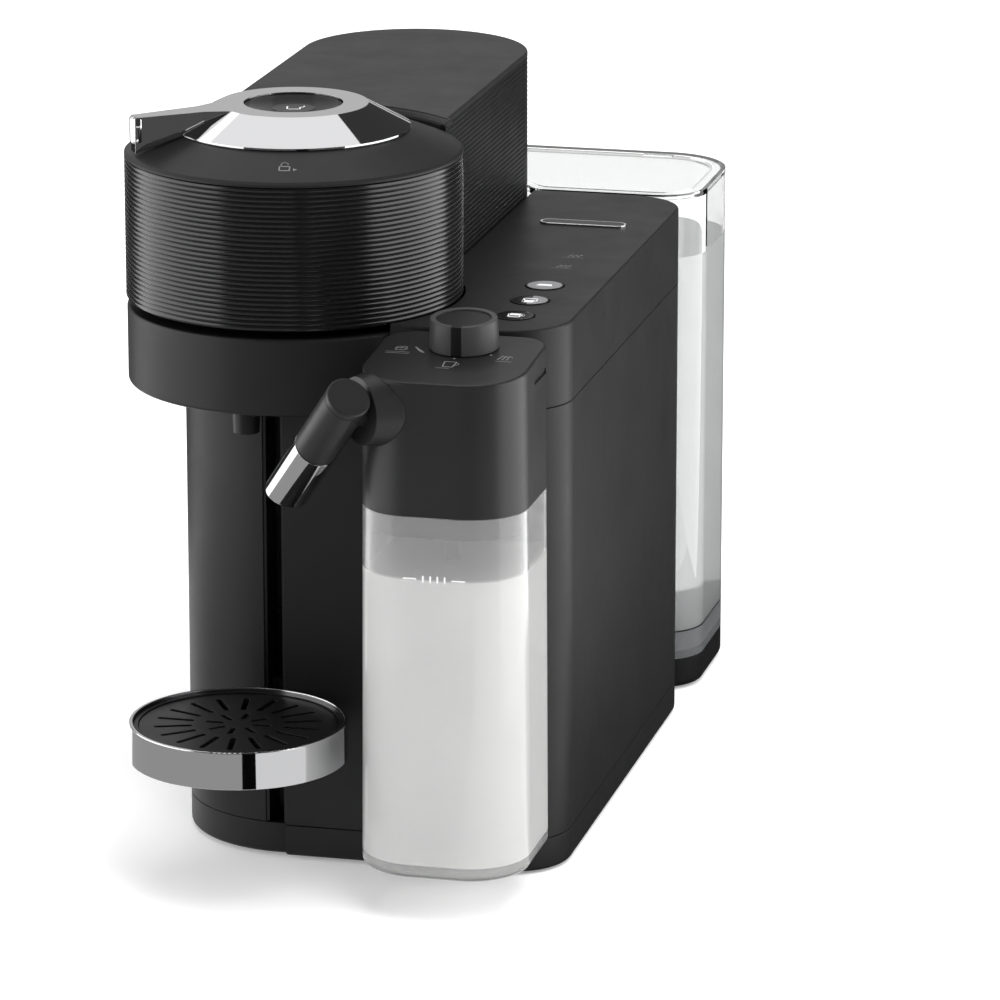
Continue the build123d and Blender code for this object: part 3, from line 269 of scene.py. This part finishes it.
def bar_faces(rows, columns):
    """Faces of a bar with flat ends. Its rows run along it, and close round it."""
    faces = []
    for row in range(rows):
        below = row * columns
        above = ((row + 1) % rows) * columns
        for c in range(columns - 1):
            faces.append((below + c, below + c + 1, above + c + 1, above + c))
    faces.append(tuple(row * columns for row in range(rows)))
    faces.append(tuple(row * columns + columns - 1 for row in reversed(range(rows))))
    return faces


def lathe(profile, centre, segments):
    """Turns a closed profile of (radius, height) about a vertical axis."""
    verts = []
    for radius, height in profile:
        for s in range(segments):
            angle = 2 * pi * s / segments
            verts.append((centre[0] + radius * cos(angle), centre[1] + radius * sin(angle), height))
    return verts, ring_faces(len(profile), segments, close_rows=True)


RIB_PITCH = 2.09 * MM
RIB_SAMPLES = 8
RIB_FULLNESS = 0.7      # under 1 makes the ribs fuller and the grooves narrower


def rib_profile(low, high, depth):
    """Round ribs with narrow grooves between them, as points of (inset, height)."""
    count = max(1, round((high - low) / RIB_PITCH))
    points = []
    for step in range(count * RIB_SAMPLES + 1):
        phase = step / RIB_SAMPLES
        inset = depth * (1 - abs(sin(pi * phase)) ** RIB_FULLNESS)
        points.append((inset, low + (high - low) * phase / count))
    return points


class Flat:
    """A plane to draw small marks on: origin, right, up, and the normal between them."""

    def __init__(self, origin, right, up):
        self.o = Vector(origin)
        self.u = Vector(right).normalized()
        self.v = Vector(up).normalized()
        self.n = self.u.cross(self.v)

    def at(self, x, y, rise=0.0):
        return self.o + (self.u * x + self.v * y) * MM + self.n * rise * MM


class Mark:
    """Collects small raised shapes in millimetres on a plane, and makes one piece of them."""

    SINK = 0.15

    def __init__(self, flat, rise=0.08):
        self.flat = flat
        self.rise = rise
        self.verts = []
        self.faces = []

    def area(self, outline):
        n = len(outline)
        first = len(self.verts)
        self.verts += [self.flat.at(x, y, -self.SINK) for x, y in outline]
        self.verts += [self.flat.at(x, y, self.rise) for x, y in outline]
        self.faces.append(tuple(first + i for i in reversed(range(n))))
        self.faces.append(tuple(first + n + i for i in range(n)))
        for i in range(n):
            j = (i + 1) % n
            self.faces.append((first + i, first + j, first + n + j, first + n + i))

    def line(self, points, width, close=False):
        """Straight strokes with square ends that reach half a width past the points."""
        ends = list(zip(points, points[1:]))
        if close:
            ends.append((points[-1], points[0]))
        for (x0, y0), (x1, y1) in ends:
            length = sqrt((x1 - x0) ** 2 + (y1 - y0) ** 2)
            ux, uy = (x1 - x0) / length, (y1 - y0) / length
            h = width / 2
            self.area([(x0 - ux * h - uy * h, y0 - uy * h + ux * h),
                       (x0 - ux * h + uy * h, y0 - uy * h - ux * h),
                       (x1 + ux * h + uy * h, y1 + uy * h - ux * h),
                       (x1 + ux * h - uy * h, y1 + uy * h + ux * h)])

    def disc(self, x, y, radius, count=20, start=0.0, end=2 * pi):
        full = abs(end - start - 2 * pi) < 1e-6
        turns = [start + (end - start) * i / count for i in range(count if full else count + 1)]
        self.area([(x + radius * cos(a), y + radius * sin(a)) for a in turns])

    def arc(self, x, y, radius, start, end, width, count=10):
        turns = [radians(start + (end - start) * i / count) for i in range(count + 1)]
        self.line([(x + radius * cos(a), y + radius * sin(a)) for a in turns], width)

    def cup(self, x, y, w, h, line):
        """Small cup with a handle on its right."""
        self.line([(x - w / 2, y + h / 2), (x - w / 2 * 0.8, y - h / 2),
                   (x + w / 2 * 0.8, y - h / 2), (x + w / 2, y + h / 2)], line, close=True)
        self.arc(x + w / 2 * 0.9, y + h * 0.08, h * 0.24, 80, -80, line * 0.8, 6)

    def make(self, name, body, slot, look):
        return piece(name, self.verts, self.faces, body, look, smooth=False)


# ---------------------------------------------------------------- measures from the frame

drum_lo, drum_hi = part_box("head_drum")
HEAD = ((drum_lo.x + drum_hi.x) / 2, (drum_lo.y + drum_hi.y) / 2)
HEAD_R = (drum_hi.x - drum_lo.x) / 2
RIGHT, BACK, UP = (1, 0, 0), (0, 1, 0), (0, 0, 1)


def from_head(x, y, z):
    """Point given in millimetres from the head's axis and the floor."""
    return Vector((HEAD[0] + x * MM, HEAD[1] + y * MM, z * MM))


# ---------------------------------------------------------------- ribbed drum of the head

DRUM_WALL = 3 * MM
DRUM_RIM = 0.8 * MM
DRUM_RIB = 0.45 * MM
outer = [(HEAD_R - inset, height) for inset, height in
         rib_profile(drum_lo.z + 0.4 * MM, drum_hi.z - 0.2 * MM, DRUM_RIB)]
profile = [(HEAD_R - DRUM_WALL, drum_hi.z), (HEAD_R - DRUM_WALL, drum_lo.z),
           (HEAD_R - DRUM_RIM, drum_lo.z)]
profile += outer + [(HEAD_R - DRUM_RIM, drum_hi.z)]
verts, faces = lathe(profile, HEAD, 256)
drum = piece("ribbed_drum", verts, faces, "brew_head", ribbed, sharp=60)
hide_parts("head_drum")

# ---------------------------------------------------------------- ribbed sides of the ridge

ridge_lo, ridge_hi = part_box("ridge_cover")
cover_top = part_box("control_cover")[1].z
RIDGE_X = (ridge_lo.x + ridge_hi.x) / 2
RIDGE_R = (ridge_hi.x - ridge_lo.x) / 2
RIDGE_WALL = 2.5 * MM
RIDGE_RIB = 0.4 * MM
CUT_R = 71.8 * MM       # the round hollow in front, which the head stands in
ridge_back = ridge_hi.y - RIDGE_R


def ridge_path(inset, steps=96):
    """Plan of the ridge's wall, from its front left edge round the back to its front right one."""
    r = RIDGE_R - inset
    left_front, right_front = (HEAD[1] + sqrt(CUT_R ** 2 - (x - HEAD[0]) ** 2)
                               for x in (RIDGE_X - r, RIDGE_X + r))
    points = [(RIDGE_X - r, left_front), (RIDGE_X - r, (left_front + ridge_back) / 2)]
    for s in range(steps + 1):
        angle = pi - pi * s / steps
        points.append((RIDGE_X + r * cos(angle), ridge_back + r * sin(angle)))
    points += [(RIDGE_X + r, (right_front + ridge_back) / 2), (RIDGE_X + r, right_front)]
    return points


section = [(RIDGE_WALL, ridge_hi.z), (RIDGE_WALL, ridge_lo.z),
           (0.0, ridge_lo.z), (0.0, cover_top - 0.6 * MM)]
section += rib_profile(cover_top - 0.3 * MM, ridge_hi.z - 0.3 * MM, RIDGE_RIB)
section += [(0.5 * MM, ridge_hi.z)]
verts = [(x, y, height) for inset, height in section for x, y in ridge_path(inset)]
faces = bar_faces(len(section), len(ridge_path(0.0)))
ridge = piece("ribbed_ridge", verts, faces, "machine", ridge_ribs, sharp=60)
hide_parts("ridge_cover")

# ---------------------------------------------------------- lip of the ridge's top beside the head

LIP_R = 72.3 * MM
LIP_STEPS = 64
LIP_SECTION = ((3.2, 0.05), (1.6, 0.5), (0.2, 1.7), (0.0, 2.4), (0.0, 3.6), (3.2, 3.0))
ridge_top_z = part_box("ridge_top")[1].z
lip_from = acos((RIDGE_X + RIDGE_R - 0.5 * MM - HEAD[0]) / LIP_R)
lip_to = acos((RIDGE_X - RIDGE_R + 0.5 * MM - HEAD[0]) / LIP_R)
verts = []
for behind, under in LIP_SECTION:
    radius = LIP_R + behind * MM
    for s in range(LIP_STEPS + 1):
        a = lip_from + (lip_to - lip_from) * s / LIP_STEPS
        verts.append((HEAD[0] + radius * cos(a), HEAD[1] + radius * sin(a),
                      ridge_top_z - under * MM))
piece("ridge_lip", verts, bar_faces(len(LIP_SECTION), LIP_STEPS + 1), "machine", casing,
      sharp=60)

# ---------------------------------------------------------- rounded bar at the end of the lever

ARM_TURN = radians(211.0)
BAR_REACH = 67.2        # from the head's axis
BAR_HALF_LONG = 4.0
BAR_HALF_THICK = 3.2
BAR_COLUMNS = 32
lever_lo, lever_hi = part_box("lock_lever")
arm_out = Vector((cos(ARM_TURN), sin(ARM_TURN), 0))
arm_side = Vector((-sin(ARM_TURN), cos(ARM_TURN), 0))
bar_mid = from_head(0, 0, 0) + arm_out * BAR_REACH * MM
bar_top = lever_hi.z - 1.75 * MM
bar_rows = ((1.2, lever_lo.z + 3.5 * MM), (0.3, lever_lo.z + 4.2 * MM),
            (0.0, lever_lo.z + 5.0 * MM), (0.0, bar_top - 0.9 * MM),
            (0.3, bar_top - 0.25 * MM), (1.0, bar_top))
verts = []
for inset, height in bar_rows:
    for s in range(BAR_COLUMNS):
        a = 2 * pi * s / BAR_COLUMNS
        along_arm = (BAR_HALF_THICK - inset) * cos(a)
        across = (BAR_HALF_LONG - inset) * sin(a)
        verts.append(bar_mid + (arm_out * along_arm + arm_side * across) * MM
                     + Vector((0, 0, height)))
piece("lever_end", verts, block_faces(len(bar_rows), BAR_COLUMNS), "lever", chrome,
      sharp=50)

# ---------------------------------------------------------------- marks on the head

CONE_TILT = atan2(8.3, 20.8)
CONE_FOOT_R = 69.8
CONE_FOOT_Z = 297.5
LOCK_R = 59.5
LOCK_AT = radians(-78.0)
out = Vector((cos(LOCK_AT), sin(LOCK_AT), 0))
tangent = Vector((-sin(LOCK_AT), cos(LOCK_AT), 0))
up_slope = -out * cos(CONE_TILT) + Vector((0, 0, sin(CONE_TILT)))
lock_z = CONE_FOOT_Z + (CONE_FOOT_R - LOCK_R) * tan(CONE_TILT)
lock = Mark(Flat(from_head(out.x * LOCK_R, out.y * LOCK_R, lock_z), tangent, up_slope))
lock.line([(-2.3, -2.4), (1.9, -2.4), (1.9, 0.6), (-2.3, 0.6)], 0.55, close=True)
lock.line([(-1.6, 0.6), (-1.6, 2.0)], 0.55)
lock.arc(-0.2, 2.0, 1.4, 180, 10, 0.55)
lock.area([(3.4, -2.6), (5.0, -1.7), (3.4, -0.8)])
lock.make("lock_mark", "brew_head", "drum", mark_grey)

DISH_DEPTH = 1.8
DISC_RISE = 0.12
BREW_TURN = radians(13.5)
dish_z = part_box("brew_button")[1].z / MM - DISH_DEPTH
disc = Mark(Flat(from_head(0, 0, dish_z), RIGHT, BACK), rise=DISC_RISE)
disc.disc(0, 0, 9.0, 48)
disc.make("brew_disc", "start_button", "gloss_black", gloss_black)
cup_mark = Mark(Flat(from_head(0.6, 0, dish_z + DISC_RISE), (cos(BREW_TURN), sin(BREW_TURN), 0),
                     (-sin(BREW_TURN), cos(BREW_TURN), 0)))
cup_mark.line([(-3.2, 2.6), (-3.2, -2.6), (2.2, -2.6), (2.2, 1.2)], 0.6)
cup_mark.line([(2.2, 1.2), (3.8, 1.2)], 0.6)
cup_mark.line([(3.8, 1.2), (3.8, 3.4)], 0.6)
cup_mark.make("brew_mark", "start_button", "lamp_white", mark_white)

# ---------------------------------------------------------------- marks and keys on the block

KEY_R = 7.4
# Height of the painted reflections over the key tops.
PAINTED_REFLECTION_RISE = 0.05
PICTURE_RISE = 0.12
RIM_OUTER, RIM_INNER = 7.95 * MM, 7.5 * MM
RIM_RISE, RIM_SINK = 0.05 * MM, 0.2 * MM
key_bodies = ("button_a", "button_b", "button_c")
key_centres = []
for number in (1, 2, 3):
    lo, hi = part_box(f"control_button_{number}")
    key_centres.append(((lo.x + hi.x) / 2, (lo.y + hi.y) / 2, hi.z))
front_flat, middle_flat, rear_flat = (Flat(centre, RIGHT, BACK) for centre in key_centres)

# The grey patches on the key tops are painted reflections on gloss black keys: a full disc on the
# rear key, the right half of the middle one, an arc along the front one's right edge.
rear_painted_reflection = Mark(rear_flat, rise=PAINTED_REFLECTION_RISE)
rear_painted_reflection.disc(0, 0, KEY_R, 40)
rear_painted_reflection.make("key_painted_reflection_rear", "button_c", "gloss_black", painted_key_reflection)
rear_picture = Mark(rear_flat, rise=PICTURE_RISE)
rear_picture.area([(-3.6, -1.6), (3.6, -1.6), (2.6, 1.4), (-2.6, 1.4)])
rear_picture.make("key_mark_rear", "button_c", "lamp_white", mark_white)

# Painted reflection over the right half of the middle key.
middle_painted_reflection = Mark(middle_flat, rise=PAINTED_REFLECTION_RISE)
middle_painted_reflection.disc(0, 0, KEY_R, 24, -pi / 2, pi / 2)
middle_painted_reflection.make("key_painted_reflection_middle", "button_b", "gloss_black", painted_key_reflection)
middle_picture = Mark(middle_flat, rise=PICTURE_RISE)
middle_picture.cup(0.2, -1.0, 6.0, 6.4, 0.8)
middle_picture.area([(-2.5, -3.6), (2.7, -3.6), (2.9, -0.6), (-2.7, -0.6)])
middle_picture.make("key_mark_middle", "button_b", "lamp_white", mark_white)

# Painted reflection along the right edge of the front key.
front_painted_reflection = Mark(front_flat, rise=PAINTED_REFLECTION_RISE)
front_painted_reflection.arc(0, 0, 7.1, -55, 55, 0.7, 14)
front_painted_reflection.make("key_painted_reflection_front", "button_a", "gloss_black", painted_key_reflection)
front_picture = Mark(front_flat, rise=PICTURE_RISE)
front_picture.cup(0.0, -0.4, 5.6, 5.6, 0.8)
front_picture.area([(-2.6, -0.6), (2.6, -0.6), (2.8, 2.4), (-2.8, 2.4)])
front_picture.make("key_mark_front", "button_a", "lamp_white", mark_white)

for number, (centre, body) in enumerate(zip(key_centres, key_bodies), start=1):
    rim_hi, rim_lo = centre[2] + RIM_RISE, centre[2] - RIM_SINK
    verts, faces = lathe([(RIM_OUTER, rim_hi), (RIM_OUTER, rim_lo),
                          (RIM_INNER, rim_lo), (RIM_INNER, rim_hi)], centre, 64)
    piece(f"key_rim_{number}", verts, faces, body, dark)

lamps_lo, lamps_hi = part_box("indicator_lamps")
lamp_x = (lamps_lo.x + lamps_hi.x) / 2
lamp_mark = Mark(Flat((lamp_x, 0, cover_top), RIGHT, BACK), rise=0.1)
for lamp_y, shift in ((lamps_hi.y / MM - 2.3, 0.2), (lamps_lo.y / MM + 2.3, -0.2)):
    for k in range(3):
        x = shift + 2.0 * (k - 1)
        lamp_mark.line([(x - 0.5, lamp_y - 1.6), (x + 0.2, lamp_y + 0.2),
                        (x + 1.0, lamp_y + 2.0)], 0.45)
    lamp_mark.line([(shift - 4.6, lamp_y - 3.4), (shift + 4.4, lamp_y - 3.4)], 0.35)
lamp_piece = lamp_mark.make("lamp_marks", "machine", "lamp_white", mark_grey)
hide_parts("indicator_lamps")

BADGE_FRAME = 1.0
badge_lo, badge_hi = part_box("badge")
badge_flat = Flat(((badge_lo.x + badge_hi.x) / 2, (badge_lo.y + badge_hi.y) / 2, badge_hi.z),
                  RIGHT, BACK)
half_long = (badge_hi.x - badge_lo.x) / 2 / MM
half_wide = (badge_hi.y - badge_lo.y) / 2 / MM
inlay_r = half_wide - BADGE_FRAME
reach = half_long - half_wide
outline = [(side * reach + inlay_r * cos(radians(a)), inlay_r * sin(radians(a)))
           for side, first in ((1, -90), (-1, 90)) for a in range(first, first + 181, 10)]
inlay = Mark(badge_flat, rise=0.04)
inlay.area(outline)
inlay.make("badge_inlay", "machine", "gloss_black", gloss_black)

# -------------------------------------------------------- carafe: milk, level line, marks, pointer

JUG_WALL = 2.2 * MM
JUG_FLOOR = 6.0 * MM
JUG_FRONT_R, JUG_BACK_R = 25 * MM, 14 * MM
TAPER = tan(radians(0.35))
MILK_TOP = 0.1485
MILK_BITE = 0.12 * MM       # the milk reaches this far into the wall, so that no gap shows
MILK_DRAW = 0.5 * MM        # and its top edge is drawn in by this much
jug_lo, jug_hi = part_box("milk_jug")


def rounded_plan(lo, hi, inset, front_r, back_r, steps=12):
    """Plan of a rounded box with wider corners at the front, drawn in by inset."""
    points = []
    for sx, sy, r, start in ((1, 1, back_r, 0), (-1, 1, back_r, 90),
                             (-1, -1, front_r, 180), (1, -1, front_r, 270)):
        cx = (hi.x - r) if sx > 0 else (lo.x + r)
        cy = (hi.y - r) if sy > 0 else (lo.y + r)
        for s in range(steps + 1):
            a = radians(start + 90 * s / steps)
            points.append((cx + (r - inset) * cos(a), cy + (r - inset) * sin(a)))
    return points


rows = []
for level, grow in ((jug_lo.z + JUG_FLOOR - 0.1 * MM, MILK_BITE),
                    (jug_lo.z + 0.4 * (MILK_TOP - jug_lo.z), MILK_BITE),
                    (MILK_TOP - 0.6 * MM, MILK_BITE), (MILK_TOP, -MILK_DRAW)):
    inset = JUG_WALL - grow + (level - jug_lo.z) * TAPER
    rows.append([(x, y, level)
                 for x, y in rounded_plan(jug_lo, jug_hi, inset, JUG_FRONT_R, JUG_BACK_R)])
piece("milk_fill", sum(rows, []), block_faces(len(rows), len(rows[0])), "jug", milk)

LINE_X = 90 * MM
LINE_Z = 0.1490
line_y = jug_lo.y + (LINE_Z - 0.2 * MM - jug_lo.z) * TAPER
level_mark = Mark(Flat((HEAD[0] + LINE_X, line_y, LINE_Z), RIGHT, UP), rise=0.12)
for x0, x1 in ((-12.6, -7.6), (7.6, 12.6)):
    level_mark.line([(x0, 0), (x1, 0)], 0.55)
for x in (-4.5, -1.5, 1.5, 4.5):
    level_mark.line([(x, -1.1), (x, 1.1)], 0.6)
level_mark.make("level_line", "jug", "lamp_white", mark_white)

LID_TILT = radians(4.0)
LID_MARK_RISE = 0.06
OVER_LID = 300
lid_up = (0, cos(LID_TILT), sin(LID_TILT))


def lid_mark(x, y):
    """Mark on the lid's sloping top, at a point given in millimetres from the head's axis."""
    _, spot, _, _ = nodes["carafe_lid"].ray_cast(from_head(x, y, OVER_LID), Vector((0, 0, -1)))
    return Mark(Flat(spot, RIGHT, lid_up), rise=LID_MARK_RISE)


foam = lid_mark(65.7, -79.1)
foam.cup(0.0, 2.2, 4.6, 2.6, 0.45)
foam.arc(-0.9, 4.2, 1.1, 200, -20, 0.45, 6)
foam.arc(0.9, 4.6, 1.1, 200, -20, 0.45, 6)
foam.line([(-5.0, -1.6), (4.6, -1.6)], 0.3)
foam.line([(-5.0, -3.4), (4.6, -3.4)], 0.3)
foam.make("foam_mark", "jug_lid", "lamp_white", mark_grey)
wedge = lid_mark(73.5, -76.9)
wedge.area([(-2.6, 3.2), (-2.2, 3.8), (2.8, -2.8), (2.2, -3.4), (0.2, -1.6)])
wedge.make("wedge_mark", "jug_lid", "lamp_white", mark_grey)
mug = lid_mark(89.9, -93.0)
mug.cup(0.0, 0.0, 5.0, 6.6, 0.5)
mug.disc(0.2, 7.6, 0.6, 12)
mug.line([(-4.2, -5.2), (1.0, -5.2)], 0.35)
mug.make("mug_mark", "jug_lid", "lamp_white", mark_grey)
steam = lid_mark(110.2, -81.4)
for k in range(3):
    steam.line([(-2.6 + 1.9 * k, -2.2), (-1.4 + 1.5 * k, 2.8), (0.2 + 1.4 * k, 1.2)], 0.4)
steam.line([(-2.8, -4.2), (3.6, -4.2)], 0.35)
steam.disc(-6.4, 3.0, 0.55, 12)
steam.make("steam_mark", "jug_lid", "lamp_white", mark_grey)

KNOB_R = 14.3
KNOB_TOP = 0.8          # above the middle of the inset cap, along the knob's axis
KNOB_FOOT = 11.3        # and below it
POINTER_HALF = 2.2
POINTER_STEPS = 8
POINTER_LIFT = 0.05
knob_lo, knob_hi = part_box("froth_knob")
cap_lo, cap_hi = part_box("knob_cap")
knob_n = Vector((0, -sin(LID_TILT), cos(LID_TILT)))
cap_centre = Vector(((knob_lo.x + knob_hi.x) / 2, (cap_lo.y + cap_hi.y) / 2,
                     (cap_lo.z + cap_hi.z) / 2))
top_centre = cap_centre + knob_n * KNOB_TOP * MM
foot_centre = cap_centre - knob_n * KNOB_FOOT * MM
verts = []
for base, radius, lift in ((foot_centre, KNOB_R + 0.04, 0.0), (top_centre, KNOB_R - 0.56, 0.0),
                           (top_centre, KNOB_R - 3.2, POINTER_LIFT),
                           (foot_centre, KNOB_R - 0.5, POINTER_LIFT)):
    for s in range(POINTER_STEPS + 1):
        x = -POINTER_HALF + 2 * POINTER_HALF * s / POINTER_STEPS
        y = -sqrt(radius ** 2 - x ** 2)
        verts.append(base + Vector(RIGHT) * x * MM + Vector(lid_up) * y * MM + knob_n * lift * MM)
piece("knob_pointer", verts, bar_faces(4, POINTER_STEPS + 1), "froth_dial", dark,
      sharp=30)

# ---------------------------------------------------------------- groove round the top of the spout

SPOUT_REACH = 15.2      # from the spout's joint to the middle of its tube
GROOVE_R, GROOVE_INNER_R = 9.26, 8.6
GROOVE_LOW, GROOVE_HIGH = -9.9, -9.4
GROOVE_COLUMNS = 64
spout_joint = next(j for j in frame["joints"] if j["name"] == "spout_swing")
spout_out = Vector(spout_joint["axis"]).normalized()
along = (Vector((spout_out.y, -spout_out.x, 0)) + Vector((0, 0, -1))).normalized()
spout_mid = Vector(spout_joint["pos_m"]) + spout_out * SPOUT_REACH * MM
across = along.cross(spout_out)
verts = []
for radius, rise in ((GROOVE_R, GROOVE_LOW), (GROOVE_R, GROOVE_HIGH),
                     (GROOVE_INNER_R, GROOVE_HIGH), (GROOVE_INNER_R, GROOVE_LOW)):
    for s in range(GROOVE_COLUMNS):
        a = 2 * pi * s / GROOVE_COLUMNS
        verts.append(spout_mid + (spout_out * cos(a) + across * sin(a)) * radius * MM
                     + along * rise * MM)
piece("spout_groove", verts, ring_faces(4, GROOVE_COLUMNS, close_rows=True), "milk_spout",
      dark)

# ---------------------------------------------------------------- water in the tank


def polygon_area(points):
    pairs = zip(points, points[1:] + points[:1])
    return abs(sum(x0 * y1 - x1 * y0 for (x0, y0), (x1, y1) in pairs)) / 2


def inner_outline(name, height):
    """The inner outline of a hollow CAD node, cut level at a height."""
    work = bmesh.new()
    work.from_mesh(nodes[name].data)
    bmesh.ops.remove_doubles(work, verts=work.verts, dist=1e-6)
    cut = bmesh.ops.bisect_plane(work, geom=work.verts[:] + work.edges[:] + work.faces[:],
                                 dist=1e-7, plane_co=(0, 0, height), plane_no=(0, 0, 1))
    links = {}
    for edge in cut["geom_cut"]:
        if isinstance(edge, bmesh.types.BMEdge):
            a, b = edge.verts
            links.setdefault(a, []).append(b)
            links.setdefault(b, []).append(a)
    loops = []
    left = set(links)
    while left:
        here = min(left, key=lambda v: (v.co.x, v.co.y))
        loop = []
        while here:
            left.discard(here)
            loop.append((here.co.x, here.co.y))
            here = next((v for v in links[here] if v in left), None)
        loops.append(loop)
    work.free()
    return min((loop for loop in loops if len(loop) > 8), key=polygon_area)


CUT_Z = 0.1
WATER_TOP = 0.2050
WATER_GROW = 1.002      # the water reaches a little into the wall, so that no gap shows
plan = inner_outline("tank_shell", CUT_Z)
middle = (sum(x for x, _ in plan) / len(plan), sum(y for _, y in plan) / len(plan))
band_lo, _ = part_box("tank_band")
water_levels = (band_lo.z + 3.4 * MM, WATER_TOP - 1.2 * MM, WATER_TOP - 0.5 * MM, WATER_TOP)
verts = [(middle[0] + (x - middle[0]) * WATER_GROW, middle[1] + (y - middle[1]) * WATER_GROW, level)
         for level in water_levels for x, y in plan]
piece("water_fill", verts, block_faces(len(water_levels), len(plan)), "water_tank",
      water)

# ---------------------------------------------------------------- floor, lights and camera

SPAN = 40.0
floor_mesh = bpy.data.meshes.new("floor")
floor_mesh.from_pydata([(-SPAN, -SPAN, 0), (SPAN, -SPAN, 0), (SPAN, SPAN, 0), (-SPAN, SPAN, 0)],
                       [], [(0, 1, 2, 3)])
floor = bpy.data.objects.new("floor", floor_mesh)
bpy.context.scene.collection.objects.link(floor)
floor_mat, floor_tree, floor_bsdf = start_material("floor_white")
floor_bsdf.inputs["Base Color"].default_value = (0.92, 0.92, 0.92, 1)
floor_bsdf.inputs["Roughness"].default_value = 0.7
floor_bsdf.inputs["Specular IOR Level"].default_value = 0.2
floor_bsdf.inputs["Emission Color"].default_value = (1, 1, 1, 1)
# The floor's glow rises with distance from the origin, between 0.7 m and 2.6 m.
away = node(floor_tree, "ShaderNodeVectorMath", operation="LENGTH")
floor_tree.links.new(object_coords(floor_tree), away.inputs[0])
floor_tree.links.new(mapped(floor_tree, away.outputs["Value"], 0.26, 0.62, 0.7, 2.6),
                     floor_bsdf.inputs["Emission Strength"])
floor_mesh.materials.append(floor_mat)

world = bpy.data.worlds.new("studio")
world.use_nodes = True
world.node_tree.nodes["Background"].inputs["Color"].default_value = (1, 1, 1, 1)
world.node_tree.nodes["Background"].inputs["Strength"].default_value = 0.05
bpy.context.scene.world = world

AIM = Vector((HEAD[0], HEAD[1], 0.2))


def direction(azimuth, elevation):
    a, e = radians(azimuth), radians(elevation)
    return Vector((cos(a) * cos(e), sin(a) * cos(e), sin(e)))


def softbox(name, azimuth, elevation, distance, width, height, power):
    """Rectangular light at an azimuth and elevation from the head, turned towards it."""
    data = bpy.data.lights.new(name, "AREA")
    data.shape = "RECTANGLE"
    data.size = width
    data.size_y = height
    data.energy = power
    lamp = bpy.data.objects.new(name, data)
    lamp_away = direction(azimuth, elevation)
    lamp.location = AIM + lamp_away * distance
    lamp.rotation_euler = lamp_away.to_track_quat("Z", "Y").to_euler()
    lamp.visible_camera = False
    bpy.context.scene.collection.objects.link(lamp)
    return lamp


softbox("left_box", -165, 14, 1.9, 3.0, 1.7, 36)
softbox("right_box", 12, 15, 2.2, 3.0, 1.7, 46)
softbox("top_box", 128, 68, 2.0, 2.2, 2.2, 18)
softbox("back_box", 113, 17, 3.2, 2.2, 1.4, 5.4)
softbox("skirt_box", 139, 34, 2.2, 0.9, 0.9, 2.6)
softbox("front_box", -50, 45, 2.5, 1.2, 1.2, 24).visible_glossy = False

sun_data = bpy.data.lights.new("sun", "SUN")
sun_data.energy = 1.7
sun_data.angle = radians(44)
sun = bpy.data.objects.new("sun", sun_data)
sun.rotation_euler = direction(-25, 74).to_track_quat("Z", "Y").to_euler()
sun.visible_glossy = False
bpy.context.scene.collection.objects.link(sun)

CARD_STEPS = 12


def flag(name, centre, turn_from, turn_to, near, far, height, glow):
    """Card just over the floor, a slice of a ring, which only reflections show. Glow lights it."""
    corners = []
    steps = range(CARD_STEPS + 1)
    for distance, turns in ((near, steps), (far, reversed(steps))):
        for s in turns:
            a = radians(turn_from + (turn_to - turn_from) * s / CARD_STEPS)
            corners.append((centre[0] + distance * cos(a), centre[1] + distance * sin(a), height))
    mesh = bpy.data.meshes.new(name)
    mesh.from_pydata(corners, [], [tuple(range(len(corners)))])
    card = bpy.data.objects.new(name, mesh)
    bpy.context.scene.collection.objects.link(card)
    mat, _, bsdf = start_material(name)
    bsdf.inputs["Base Color"].default_value = (0.002, 0.002, 0.002, 1)
    bsdf.inputs["Roughness"].default_value = 0.9
    bsdf.inputs["Specular IOR Level"].default_value = 0.0
    bsdf.inputs["Emission Color"].default_value = (1, 1, 1, 1)
    bsdf.inputs["Emission Strength"].default_value = glow
    mesh.materials.append(mat)
    card.visible_camera = False
    card.visible_diffuse = False
    card.visible_shadow = False
    card.visible_transmission = False


TRAY = (HEAD[0], HEAD[1] - 0.0935)
TANK_SIDE = (0.100, -0.15)
flag("side_flag", TANK_SIDE, 50, 130, 0.004, 6.0, 0.0010, 0.03)
flag("back_flag", HEAD, 52, 150, 0.45, 6.0, 0.0014, 0.03)
flag("front_flag", HEAD, -124, -24, 0.62, 6.0, 0.0012, 0.10)
flag("left_card", HEAD, -205, -124, 0.30, 3.0, 0.0013, 2.0)
flag("right_card", HEAD, -24, 49, 0.42, 3.0, 0.0015, 2.4)
flag("grey_card", TRAY, -215, -71, 0.06, 0.45, 0.0016, 0.42)
flag("soft_card", TRAY, -58, 20, 0.06, 0.38, 0.0016, 0.95)
flag("dark_card", TRAY, -71, -58, 0.10, 2.5, 0.0018, 0.0)

CAMERA_DOWN = 15.6
CAMERA_TURN = 13.55
camera_data = bpy.data.cameras.new("camera")
camera = bpy.data.objects.new("camera", camera_data)
bpy.context.scene.collection.objects.link(camera)
camera.location = (0.64657 + HEAD[0], -2.32162 + HEAD[1], 0.81698)
camera.rotation_euler = (radians(90 - CAMERA_DOWN), 0, radians(CAMERA_TURN))
camera_data.sensor_width = 36.0
camera_data.lens = 211.77
camera_data.shift_x = 0.00375
camera_data.shift_y = -0.00103
camera_data.clip_start = 0.1
camera_data.clip_end = 60.0
bpy.context.scene.camera = camera

bpy.context.scene.view_settings.view_transform = "Standard"
bpy.context.scene.view_settings.look = "None"
